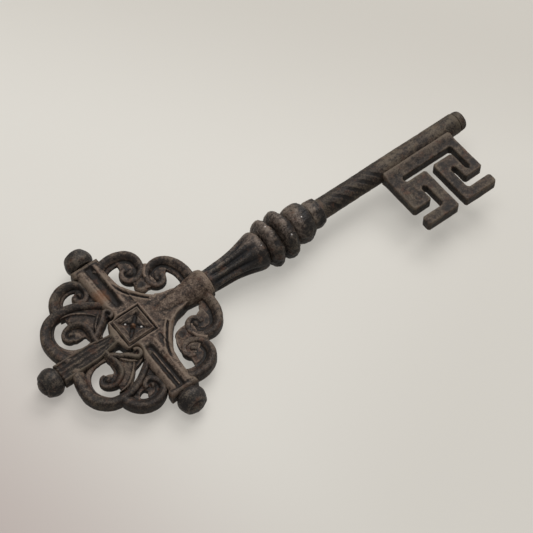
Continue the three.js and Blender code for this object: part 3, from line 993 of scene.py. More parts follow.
@dataclass
class Scroll:
    """One scroll of the bow's left side: a band that curls into an eye."""

    name: str
    line_shares: Points  # x, y and half width, in shares of FINIAL_REACH
    eye_shares: Place | None = None  # x, y and radius
    half_height: float = SCROLL_HALF_HEIGHT
    eye_half_height: float = 2.5
    tail_half_height: float | None = None
    right_shift_shares: tuple[float, float] = (0.0, 0.0)  # how much further in the right side's curl sits
    curl_shares: Ramp = (0.16, 0.34)  # where round the eye that shift fades out
    rib_shares: tuple[Points, ...] = ()
    rib_half_height: float = 1.5
    groove: float = 0.0
    slot: Slot = Slot.SCROLL
    crown: float = 0.5
    fullness: float = 0.65
    ledge: float = 0.0  # how far the sloping inner wall reaches past the band, mm
    ledge_half_height: float = 1.5
    ledge_crown: float = 0.9
    ledge_end_share: float = 0.45  # of the path, over which the ledge narrows
    fill_shares: tuple[Points, ...] = ()  # outlines of the sunk webs on both sides
    left_fill_shares: tuple[Points, ...] = ()
    right_fill_shares: tuple[Points, ...] = ()
    fill_half_height: float = 1.5
    slope: float = 0.28  # how much lower the band's inner edge is than its crest
    slope_ramp: Ramp = (-0.25, 1.1)  # in half widths inwards from the band's middle
    straight_ramp: Ramp = (0.5, 0.75)  # of the path, over which the curl takes over from the band
    curl_groove: float = 0.34
    curl_groove_width: float = 0.55
    curl_groove_place: float = 1.15  # in half widths of the band's end
    curl_groove_start: float = 0.55  # of the path
    brown: float = 0.08  # the least brown that the band carries
    most_brown: float = 0.83
    curl_brown: float = 0.3

    def placed(self, shares: Points, side: Side) -> np.ndarray:
        """Points in mm on one side; the right side's curl sits apart.

        Args:
            shares: The left side's points in shares of FINIAL_REACH.
            side: Left or right.

        Returns:
            The points.
        """
        points = np.array(shares, float)
        if side is Side.RIGHT and self.eye_shares is not None:
            away = np.linalg.norm(points[:, :2] - self.eye_shares[:2], axis=1)
            near = 1.0 - eased(away, *self.curl_shares)
            points[:, :2] += near[:, None] * self.right_shift_shares
        return on_side(points, side)

    @staticmethod
    def turn(path: np.ndarray) -> float:
        """1 where the band curls to its left, -1 where it curls to its right."""
        x, y = path[:, 0], path[:, 1]
        return float(np.sign(np.sum(x * np.roll(y, -1) - np.roll(x, -1) * y)))

    def moved_in(self, path: np.ndarray, distance: np.ndarray | float) -> np.ndarray:
        """A path moved towards its curl's middle.

        Args:
            path: x, y and half width in mm.
            distance: How far, for each point of the smoothed path or for all.

        Returns:
            The smoothed and moved path.
        """
        line = spline(path, 3)
        tangent = np.gradient(line[:, :2], axis=0)
        tangent /= np.linalg.norm(tangent, axis=1)[:, None]
        inward = np.column_stack([-tangent[:, 1], tangent[:, 0]]) * self.turn(path)
        line[:, :2] += inward * np.broadcast_to(distance, len(line))[:, None]
        return line

    def inner_slope(self, path: np.ndarray) -> np.ndarray:
        """The path of the drafted inner wall, which ends where the curl begins.

        Args:
            path: The band's x, y and half width in mm.

        Returns:
            The wall's path.
        """
        count = len(spline(path, 3))
        left = np.arange(count)[::-1] / (self.ledge_end_share * count)
        return self.moved_in(path, self.ledge * np.clip(left, 0, 1))

    def build(self, foundry: Foundry, side: Side, seed: float) -> None:
        """Makes the scroll on one side.

        Args:
            foundry: The workshop.
            side: Left or right.
            seed: Where its noise starts.
        """
        path = self.placed(self.line_shares, side)
        parts = [foundry.swept(path, self.half_height, self.tail_half_height, Groove=self.groove,
                               Crown_Fullness=self.crown, Side_Fullness=self.fullness)]
        if self.ledge:
            slope = self.inner_slope(path)
            parts.append(foundry.swept(slope, self.ledge_half_height, Crown_Fullness=self.ledge_crown))
        own = self.right_fill_shares if side is Side.RIGHT else self.left_fill_shares
        for fill in self.fill_shares + own:
            parts.append(foundry.plate(self.placed(fill, side), self.fill_half_height))
        for rib in self.rib_shares:
            parts.append(foundry.swept(self.placed(rib, side), self.rib_half_height, Ring=RIB_RING))
        if self.eye_shares is not None:
            parts.append(foundry.dome(*self.placed([self.eye_shares], side)[0], self.eye_half_height))
        piece = foundry.carved(foundry.fused(parts, smoothing=3), lambda places: self.relief(places, path))
        foundry.finish(piece, [f"{self.name}_{side.word}"], self.slot, seed,
                       lambda places: self.patina_and_shading(places, path, side), Coarse_Height=0.0002, Coarse_Scale=210.0)

    def across(self, places: np.ndarray, path: np.ndarray) -> tuple[np.ndarray, np.ndarray]:
        """How far each place lies inwards of the band, in its mean half widths, and how far along it.

        Args:
            places: Points in mm from the bow's middle.
            path: The band's x, y and half width in mm.

        Returns:
            Distances in half widths, and shares from start to end.
        """
        inward, share = beside(places, spline(path, 4))
        return inward * self.turn(path) / path[:, 2].mean(), share

    def relief(self, places: np.ndarray, path: np.ndarray) -> np.ndarray:
        """Slopes the band down to its inner side and parts the curl's turns by a groove.

        Args:
            places: Points in mm from the bow's middle.
            path: The band's x, y and half width in mm.

        Returns:
            The new points.
        """
        inward, share = self.across(places, path)
        if self.eye_shares is None:
            return raised(places, 1.0 - self.slope * eased(inward, *self.slope_ramp))
        straight = 1.0 - eased(share, *self.straight_ramp)
        line = self.moved_in(path, path[-1, 2] * self.curl_groove_place)
        gap = away_from(places, line[int(self.curl_groove_start * len(line)):])
        groove = self.curl_groove * bell(gap, self.curl_groove_width)
        return raised(places, 1.0 - self.slope * straight * eased(inward, *self.slope_ramp) - groove)

    def patina_and_shading(self, places: np.ndarray, path: np.ndarray, side: Side) -> np.ndarray:
        """Brown on the inner slopes and webs, dark on the outer walls and in the eye.

        Args:
            places: Points in mm from the bow's middle.
            path: The band's x, y and half width in mm.
            side: Left or right.

        Returns:
            How brown each place is, as finish takes it.
        """
        inward, share = self.across(places, path)
        brown = self.brown + (self.most_brown - self.brown) * eased(np.abs(inward), 0.5, 1.2) * (inward > 0)
        brown += self.curl_brown * eased(share, 0.6, 0.8)
        if self.eye_shares is not None:
            x, y, radius = self.placed([self.eye_shares], side)[0]
            brown *= 0.2 + 0.8 * eased(np.hypot(places[:, 0] - x, places[:, 1] - y), radius, radius + 1.0)
        return brown * eased(np.abs(places[:, 2]), 0.3, 1.2)


@dataclass
class Scrollwork:
    """The pierced scrollwork between the arms."""

    scrolls: tuple[Scroll, ...] = (
        Scroll("heart_arm_scroll", (
            (0.06, 0.74, 0.059), (0.12, 0.785, 0.056), (0.2, 0.812, 0.056), (0.31, 0.812, 0.056),
            (0.41, 0.772, 0.054), (0.472, 0.695, 0.051), (0.48, 0.6, 0.047), (0.445, 0.52, 0.044),
            (0.37, 0.475, 0.041), (0.295, 0.485, 0.038), (0.255, 0.545, 0.035), (0.275, 0.605, 0.033),
            (0.325, 0.622, 0.03),
        ), (0.345, 0.56, 0.05), brown=0.3, ledge=1.7, tail_half_height=2.2, left_fill_shares=((
            (0.3, 0.76), (0.292, 0.69), (0.275, 0.62), (0.25, 0.54), (0.29, 0.48), (0.37, 0.47), (0.45, 0.52),
            (0.48, 0.6), (0.47, 0.7), (0.41, 0.77), (0.31, 0.8),
        ),), right_fill_shares=((
            (0.25, 0.73), (0.262, 0.64), (0.24, 0.54), (0.29, 0.48), (0.37, 0.47), (0.45, 0.52), (0.48, 0.6),
            (0.47, 0.7), (0.41, 0.77), (0.31, 0.8),
        ),)),
        Scroll("heart_socket_scroll", (
            (0.8, 0.06, 0.059), (0.81, 0.14, 0.056), (0.815, 0.23, 0.056), (0.795, 0.345, 0.055),
            (0.74, 0.445, 0.052), (0.65, 0.502, 0.049), (0.55, 0.495, 0.046), (0.477, 0.44, 0.043),
            (0.447, 0.36, 0.041), (0.478, 0.29, 0.038), (0.54, 0.268, 0.035), (0.59, 0.305, 0.033),
            (0.597, 0.36, 0.03),
        ), (0.545, 0.335, 0.058), brown=0.35, ledge=2.2, tail_half_height=2.2, fill_shares=((
            (0.47, 0.28), (0.54, 0.25), (0.61, 0.285), (0.645, 0.345), (0.7, 0.395), (0.76, 0.385),
            (0.74, 0.445), (0.65, 0.502), (0.55, 0.495), (0.477, 0.44), (0.447, 0.36),
        ),), right_fill_shares=((
            (0.685, 0.178), (0.75, 0.19), (0.77, 0.3), (0.7, 0.37), (0.62, 0.35), (0.575, 0.285),
            (0.612, 0.252), (0.66, 0.228),
        ),)),
        Scroll("rear_scroll", (
            (-0.03, 0.33, 0.034), (-0.1, 0.39, 0.037), (-0.18, 0.458, 0.04), (-0.28, 0.525, 0.044),
            (-0.39, 0.575, 0.048), (-0.52, 0.592, 0.052), (-0.645, 0.57, 0.055), (-0.74, 0.5, 0.058),
            (-0.795, 0.39, 0.06), (-0.795, 0.27, 0.062), (-0.77, 0.16, 0.063), (-0.73, 0.06, 0.063),
        ), groove=0.04, rib_shares=((
            (-0.3, 0.13, 0.02), (-0.42, 0.118, 0.024), (-0.51, 0.108, 0.026), (-0.6, 0.125, 0.03),
            (-0.68, 0.175, 0.034), (-0.728, 0.25, 0.034), (-0.744, 0.335, 0.034), (-0.728, 0.42, 0.034),
            (-0.672, 0.505, 0.034), (-0.6, 0.55, 0.03), (-0.5, 0.565, 0.03),
        ),)),
        Scroll("rear_volute", (
            (-0.4, 0.06, 0.038), (-0.4, 0.13, 0.038), (-0.385, 0.2, 0.037), (-0.385, 0.29, 0.036),
            (-0.42, 0.355, 0.036), (-0.485, 0.393, 0.036), (-0.545, 0.395, 0.034), (-0.6, 0.368, 0.032),
            (-0.624, 0.318, 0.03), (-0.6, 0.272, 0.028), (-0.555, 0.262, 0.027),
        ), (-0.563, 0.318, 0.046), tail_half_height=2.0, eye_half_height=2.3, right_shift_shares=(0.01, 0.02),
            fill_shares=((
            (-0.4, 0.12), (-0.375, 0.22), (-0.38, 0.31), (-0.43, 0.37), (-0.5, 0.4), (-0.57, 0.385),
            (-0.61, 0.33), (-0.57, 0.265), (-0.52, 0.265), (-0.475, 0.285), (-0.445, 0.25), (-0.435, 0.17),
        ),), left_fill_shares=((
            (-0.5, 0.35), (-0.563, 0.242), (-0.53, 0.222), (-0.49, 0.222), (-0.445, 0.217), (-0.42, 0.178),
            (-0.365, 0.218), (-0.406, 0.298),
        ),)),
        Scroll("corner_curl", (
            (-0.4, 0.12, 0.034), (-0.335, 0.155, 0.034), (-0.27, 0.205, 0.034), (-0.21, 0.245, 0.034),
            (-0.14, 0.315, 0.034), (-0.095, 0.3, 0.032), (-0.095, 0.25, 0.03), (-0.135, 0.235, 0.028),
        ), (-0.135, 0.272, 0.044), eye_half_height=3.6, right_shift_shares=(-0.02, -0.008), slot=Slot.RELIEF,
            half_height=3.6, slope=0.1),
        Scroll("end_scroll", (
            (-0.53, 0.59, 0.063), (-0.52, 0.66, 0.06), (-0.47, 0.745, 0.057), (-0.385, 0.802, 0.054),
            (-0.28, 0.815, 0.05), (-0.19, 0.778, 0.047), (-0.148, 0.705, 0.044), (-0.157, 0.625, 0.041),
            (-0.215, 0.57, 0.037), (-0.275, 0.595, 0.034), (-0.285, 0.65, 0.031),
        ), (-0.225, 0.65, 0.046), ledge=1.3, tail_half_height=2.4, fill_shares=((
            (-0.25, 0.7), (-0.17, 0.77), (-0.13, 0.7), (-0.15, 0.6), (-0.21, 0.55), (-0.3, 0.56),
            (-0.33, 0.62), (-0.3, 0.68),
        ), (
            (-0.11, 0.8), (-0.11, 0.4), (-0.18, 0.42), (-0.28, 0.5), (-0.32, 0.57), (-0.2, 0.6),
            (-0.14, 0.68),
        )), right_fill_shares=((
            (-0.27, 0.56), (-0.4, 0.58), (-0.5, 0.6), (-0.47, 0.7), (-0.41, 0.7), (-0.39, 0.665),
            (-0.33, 0.645), (-0.29, 0.68), (-0.26, 0.64),
        ), (
            (-0.22, 0.78), (-0.3, 0.79), (-0.38, 0.77), (-0.37, 0.742), (-0.325, 0.735), (-0.31, 0.69),
            (-0.24, 0.7),
        ))),
    )
    bud_shares: tuple[float, float, float] = (0.355, 0.365, 0.0732)
    bud_half_height: float = 2.3
    bud_dimple: float = 0.3
    cusp_shares: Points = (
        (0.535, 0.548, 0.036), (0.5, 0.51, 0.034), (0.462, 0.47, 0.028), (0.44, 0.41, 0.02),
    )
    cusp_half_height: float = 2.7
    bud_web_shares: dict[Side, Points] = field(default_factory=lambda: {
        Side.LEFT: (
            (0.295, 0.47), (0.31, 0.39), (0.36, 0.325), (0.43, 0.295), (0.51, 0.32), (0.5, 0.42), (0.56, 0.5),
            (0.525, 0.565), (0.45, 0.56), (0.38, 0.5),
        ),
        Side.RIGHT: (
            (0.24, 0.56), (0.235, 0.47), (0.265, 0.37), (0.33, 0.3), (0.43, 0.285), (0.51, 0.32), (0.5, 0.42),
            (0.56, 0.5), (0.525, 0.565), (0.45, 0.56), (0.38, 0.6), (0.3, 0.62),
        ),
    })
    leaf_web_shares: dict[Side, Points] = field(default_factory=lambda: {
        Side.LEFT: (
            (-0.5, 0.5), (-0.42, 0.55), (-0.3, 0.5), (-0.2, 0.43), (-0.12, 0.36), (-0.1, 0.27), (-0.2, 0.22),
            (-0.3, 0.18), (-0.36, 0.17), (-0.36, 0.28), (-0.41, 0.37), (-0.49, 0.42),
        ),
        Side.RIGHT: (
            (-0.5, 0.5), (-0.42, 0.55), (-0.335, 0.48), (-0.26, 0.4), (-0.19, 0.375), (-0.12, 0.34),
            (-0.1, 0.27), (-0.2, 0.22), (-0.3, 0.18), (-0.36, 0.17), (-0.36, 0.28), (-0.41, 0.37),
            (-0.49, 0.42),
        ),
    })
    web_half_height: float = 1.5
    leaf_shares: Points = (
        (-0.5, 0.46), (-0.42, 0.5), (-0.33, 0.45), (-0.24, 0.375), (-0.19, 0.315),
        (-0.25, 0.25), (-0.32, 0.19), (-0.35, 0.26), (-0.38, 0.33), (-0.44, 0.4),
    )
    leaf_rib_shares: tuple[Points, ...] = (
        (
            (-0.54, 0.53, 0.006), (-0.44, 0.515, 0.018), (-0.35, 0.465, 0.02), (-0.28, 0.4, 0.018),
            (-0.23, 0.34, 0.007),
        ),
        ((-0.34, 0.17, 0.008), (-0.3, 0.24, 0.02), (-0.245, 0.3, 0.02), (-0.19, 0.345, 0.008)),
    )
    leaf_half_height: float = 1.9
    leaf_rib_half_height: float = 2.65
    fine_voxel: float = 0.25

    def build(self, foundry: Foundry) -> None:
        """Makes both sides.

        Args:
            foundry: The workshop.
        """
        for side in Side:
            for number, scroll in enumerate(self.scrolls):
                scroll.build(foundry, side, seed=number * 2.0 + side.value)
            self.bud(foundry, side)
            self.leaf(foundry, side)

    def bud(self, foundry: Foundry, side: Side) -> None:
        """The bud where the two heart scrolls meet.

        Args:
            foundry: The workshop.
            side: Left or right.
        """
        x, y, radius = on_side([self.bud_shares], side)[0]
        parts = [
            foundry.dome(x, y, 1.1 * radius, self.bud_half_height),
            foundry.swept(on_side(self.cusp_shares, side), self.cusp_half_height, Ring=RIB_RING),
            foundry.plate(on_side(self.bud_web_shares[side], side), self.web_half_height),
        ]

        def away(places: np.ndarray) -> np.ndarray:
            """How far each place lies from the bud's middle, in its radii."""
            return np.hypot(places[:, 0] - x, places[:, 1] - y) / radius

        def dimpled(places: np.ndarray) -> np.ndarray:
            """Sinks the bud's middle."""
            return raised(places, 1.0 - self.bud_dimple * bell(away(places), 0.45))

        def patina_and_shading(places: np.ndarray) -> np.ndarray:
            """Brown but for the bud's middle."""
            return 0.1 + 0.9 * eased(away(places), 0.4, 0.8)

        piece = foundry.carved(foundry.fused(parts, self.fine_voxel), dimpled)
        foundry.finish(piece, [f"heart_bud_{side.word}"], Slot.RELIEF, 31.0 + side.value, patina_and_shading)

    def leaf(self, foundry: Foundry, side: Side) -> None:
        """The flat leaf between the curl and the rear scroll, with its ribs.

        Args:
            foundry: The workshop.
            side: Left or right.
        """
        outline = on_side(spline([*self.leaf_shares, self.leaf_shares[0]], 6)[:-1], side)
        parts = [
            foundry.slab(outline, self.leaf_half_height),
            foundry.plate(on_side(self.leaf_web_shares[side], side), self.web_half_height),
        ]
        for rib in self.leaf_rib_shares:
            path = on_side(rib, side)
            parts.append(foundry.swept(path, self.leaf_rib_half_height, Crown_Fullness=0.8, Ring=RIB_RING))
        piece = foundry.fused(parts, self.fine_voxel)
        foundry.finish(piece, [f"rear_leaf_{side.word}"], Slot.RELIEF, 41.0 + side.value, 0.45)


@dataclass
class BowCross:
    """The hub, its three arms and the socket."""

    arm_half_width: float = 5.7
    arm_end: float = 37.2
    collar_start: float = 34.3
    collar_step: float = 1.1
    rear_arm_half_width: float = 4.6
    rear_end_half_width: float = 5.0
    rear_taper: float = 20.5
    edge_rounding: float = 1.3
    edge_drop: float = 1.5
    boss_seat: float = 2.6  # half height of the flat under the boss
    boss_seat_half_width: float = 5.9
    half_height_limits: tuple[float, float] = (1.2, 4.6)
    web_shares: Points = (
        (0.155, 0.56), (0.172, 0.48), (0.205, 0.405), (0.265, 0.315), (0.34, 0.225), (0.43, 0.155),
        (0.54, 0.127), (0.68, 0.09),
    )
    hub_shares: Points = (
        (-0.14, 0.42), (-0.12, 0.345), (-0.085, 0.29), (-0.085, 0.225), (-0.12, 0.19), (-0.195, 0.18),
        (-0.24, 0.075),
    )
    socket_profile: Points = (
        (8.5, 0.0, 0), (8.5, 2.6, 0), (12.0, 4.0, 0), (16.0, 4.75, 0), (22.0, 5.35, 0), (29.0, 6.1, 0),
        (33.6, 7.0, 0), (35.0, 7.2, 0), (36.2, 7.1, 0), (36.6, 6.7, 0), (37.0, 6.85, 0), (37.7, 6.5, 0),
        (37.7, 0.0, 0),
    )
    socket_start: float = 13.0  # from here on the round socket keeps its shape
    socket_reach: float = 8.2
    socket_half_width: float = 7.6
    arm_reach: float = 7.2  # how far from its middle line an arm's relief goes
    arm_root: Ramp = (8.6, 11.5)
    arm_relief_end: Ramp = (34.2, 35.4)
    arm_slope: Ramp = (3.9, 5.6)
    arm_slope_drop: float = 0.55
    arm_ridge: Crest = Crest(3.3, 0.35, 0.7)
    left_channel: tuple[float, float] = (0.7, 0.6475)  # x of its middle, and how much wider it grows
    right_channel: tuple[float, float] = (-0.5, 0.8225)
    channel_half_width: float = 1.25
    channel_depth: float = 1.25
    channel_root: Ramp = (10.5, 12.5)
    channel_widening: Ramp = (9.0, 20.0)
    channel_wall: Ramp = (-1.1, 0.7)  # from its half width
    rib_height: float = 0.7
    rib_width: float = 0.45
    rib_root: Ramp = (13.0, 17.0)
    rib_end: Ramp = (33.0, 34.5)
    collar_root: Ramp = (34.4, 35.2)
    collar_drop: float = 0.25
    collar_lines: tuple[Crest, ...] = (Crest(35.6, 0.12, 0.5), Crest(34.6, -0.45, 0.35))
    rear_root: Ramp = (9.2, 11.5)
    rear_reach: float = 5.2
    rear_drop: float = 0.75
    rear_fan: Ramp = (10.0, 21.0)  # over which the rear arm's grooves spread
    rear_fan_room: float = 2.2
    rear_groove_root: Ramp = (9.5, 13.0)
    # placed by their share of the rear arm's half width
    rear_grooves: tuple[Crest, ...] = (Crest(0.25, -0.48, 0.13), Crest(0.62, -0.36, 0.12))
    rear_ridge: Crest = Crest(0.88, 0.45, 0.12)
    hub_reach: float = 9.0
    hub_lines: tuple[Crest, ...] = (Crest(6.85, -0.85, 0.42), Crest(7.7, 0.25, 0.35))  # round the boss
    corner_start: float = 3.0
    corner_end: Ramp = (15.0, 21.0)
    corner_side: Ramp = (17.0, 25.0)
    corner_boss: float = 7.4
    brown_height: Ramp = (1.2, 2.8)  # from the dark walls up to the brown faces
    brown_collar: Ramp = (33.5, 35.0)
    dark_rear: Ramp = (7.5, 10.5)
    dark_rear_reach: float = 6.0
    dark_arm: Ramp = (9.5, 12.0)
    dark_channel: Ramp = (1.2, 2.8)
    brown_rib_width: float = 0.5
    kidney_lines: tuple[Crest, ...] = (Crest(1.3, 0.3, 0.5), Crest(2.35, -0.75, 0.42), Crest(3.3, 0.3, 0.5))

    def outline(self) -> np.ndarray:
        """The cross in plan, round its whole edge.

        Returns:
            Its corners in mm.
        """
        collar = self.arm_half_width + self.collar_step
        shoulder = self.collar_start - self.collar_step
        half = np.array([
            *spline(self.web_shares, 6)[::-1] * FINIAL_REACH,
            (self.arm_half_width, shoulder), (collar, self.collar_start), (collar, self.arm_end),
            (-collar, self.arm_end), (-collar, self.collar_start), (-self.arm_half_width, shoulder),
            *spline(self.hub_shares, 6) * FINIAL_REACH,
            (-self.rear_taper, self.rear_arm_half_width), (-self.arm_end, self.rear_end_half_width),
        ])
        return np.vstack([half, half[::-1] * (1, -1)])

    def channel(self, x: np.ndarray, y: np.ndarray) -> tuple[np.ndarray, np.ndarray]:
        """How far each place lies from the middle of its side arm's channel, and the channel's half width.

        Args:
            x: Each place's x in mm.
            y: Each place's y in mm.

        Returns:
            The distances and the half widths, in mm.
        """
        middle, growth = (
            np.where(y < 0, right, left) for left, right in zip(self.left_channel, self.right_channel)
        )
        return x - middle, self.channel_half_width + growth * eased(np.abs(y), *self.channel_widening)

    def side_arms(self, x: np.ndarray, y: np.ndarray) -> np.ndarray:
        """Height of the side arms' relief: a dark channel between two ridges, and slopes to the sides.

        Args:
            x: Each place's x in mm.
            y: Each place's y in mm.

        Returns:
            What it adds to the half height, in mm.
        """
        across, along = np.abs(x), np.abs(y)
        centre, half_width = self.channel(x, y)
        bottom, brink = self.channel_wall
        channel = 1.0 - eased(np.abs(centre), half_width + bottom, half_width + brink)
        height = self.arm_ridge.at(across) - self.channel_depth * channel * eased(along, *self.channel_root)
        height -= self.arm_slope_drop * eased(across, *self.arm_slope)
        height *= (across < self.arm_reach) * eased(along, *self.arm_root)
        height *= 1.0 - eased(along, *self.arm_relief_end)
        rib = (y < 0) * bell(centre, self.rib_width) * eased(along, *self.rib_root)
        height += self.rib_height * rib * (1.0 - eased(along, *self.rib_end))
        collar = sum(line.at(along) for line in self.collar_lines) - self.collar_drop
        return height + collar * eased(along, *self.collar_root) * (across < self.arm_reach)

    def rear_arm(self, x: np.ndarray, y: np.ndarray) -> np.ndarray:
        """Height of the rear arm's relief: grooves that run together at the hub, between two edge ridges.

        Args:
            x: Each place's x in mm.
            y: Each place's y in mm.

        Returns:
            What it adds to the half height, in mm.
        """
        along = np.abs(y)
        share = along / (self.rear_arm_half_width - self.rear_fan_room * (1.0 - eased(-x, *self.rear_fan)))
        grooves = sum(groove.at(share) for groove in self.rear_grooves) * eased(-x, *self.rear_groove_root)
        height = self.rear_ridge.at(share) + grooves - self.rear_drop
        return height * eased(-x, *self.rear_root) * (along < self.rear_reach)

    def hub(self, places: np.ndarray, boss: np.ndarray) -> np.ndarray:
        """Height of the hub's relief: a groove round the boss, and lines along the webs' kidney edges.

        Args:
            places: Points in mm from the bow's middle.
            boss: How far out the square round the boss through each place lies.

        Returns:
            What it adds to the half height, in mm.
        """
        x, along = places[:, 0], np.abs(places[:, 1])
        web = spline(self.web_shares, 6) * FINIAL_REACH
        kidney = np.minimum(away_from(places, web), away_from(places, web * (1, -1)))
        corner = (x > self.corner_start) * (boss > self.corner_boss)
        corner = corner * (1.0 - eased(x, *self.corner_end)) * (1.0 - eased(along, *self.corner_side))
        edges = sum(line.at(kidney) for line in self.kidney_lines)
        return corner * edges + (boss < self.hub_reach) * sum(line.at(boss) for line in self.hub_lines)

    def relief(self, places: np.ndarray) -> np.ndarray:
        """Carves the grooves and ridges of both faces.

        Args:
            places: Points in mm from the bow's middle.

        Returns:
            The new points.
        """
        x, y, z = places.T
        boss = np.maximum(np.abs(x), np.abs(y))
        edge = away_from(places, self.outline(), closed=True)
        height = BOW_HALF_HEIGHT - self.edge_drop * edge_fall(edge, self.edge_rounding)
        height += self.side_arms(x, y) + self.rear_arm(x, y) + self.hub(places, boss)
        height = np.where(boss < self.boss_seat_half_width, self.boss_seat, height)
        scale = np.clip(height, *self.half_height_limits) / BOW_HALF_HEIGHT
        socket = (x > self.socket_start) & (np.abs(y) < self.socket_half_width)
        return raised(places, np.where(socket & (np.hypot(y, z) < self.socket_reach), 1.0, scale))

    def build(self, foundry: Foundry) -> None:
        """Makes the cross.

        Args:
            foundry: The workshop.
        """
        parts = [foundry.slab(self.outline(), BOW_HALF_HEIGHT), foundry.lathed(self.socket_profile, Slot.ARM)]
        piece = foundry.carved(foundry.fused(parts, 0.3), self.relief)
        foundry.finish(piece, ["bow_cross"], Slot.ARM, 50.0, self.patina_and_shading, Coarse_Height=0.0003,
                       Coarse_Scale=230.0, Fine_Height=0.00014)

    def patina_and_shading(self, places: np.ndarray) -> np.ndarray:
        """Brown on the faces, dark on the walls, in the channels and on the rear arm.

        Args:
            places: Points in mm from the bow's middle.

        Returns:
            How brown each place is, as finish takes it.
        """
        x, y, z = places.T
        along = np.abs(y)
        face = eased(np.abs(z), *self.brown_height) * (1.0 - 0.5 * eased(along, *self.brown_collar))
        rear = eased(-x, *self.dark_rear) * (along < self.dark_rear_reach)
        arm = (np.abs(x) < self.arm_reach) * eased(along, *self.dark_arm)
        centre, _ = self.channel(x, y)
        rib = (y < 0) * bell(centre, self.brown_rib_width)
        channel = arm * (1.0 - eased(np.abs(centre), *self.dark_channel)) * (1.0 - 0.9 * rib)
        brown = face * (1.0 - 0.88 * rear) * (1.0 - channel) * (1.0 - 0.25 * arm)
        return brown - 0.25 * channel - 0.12 * rear


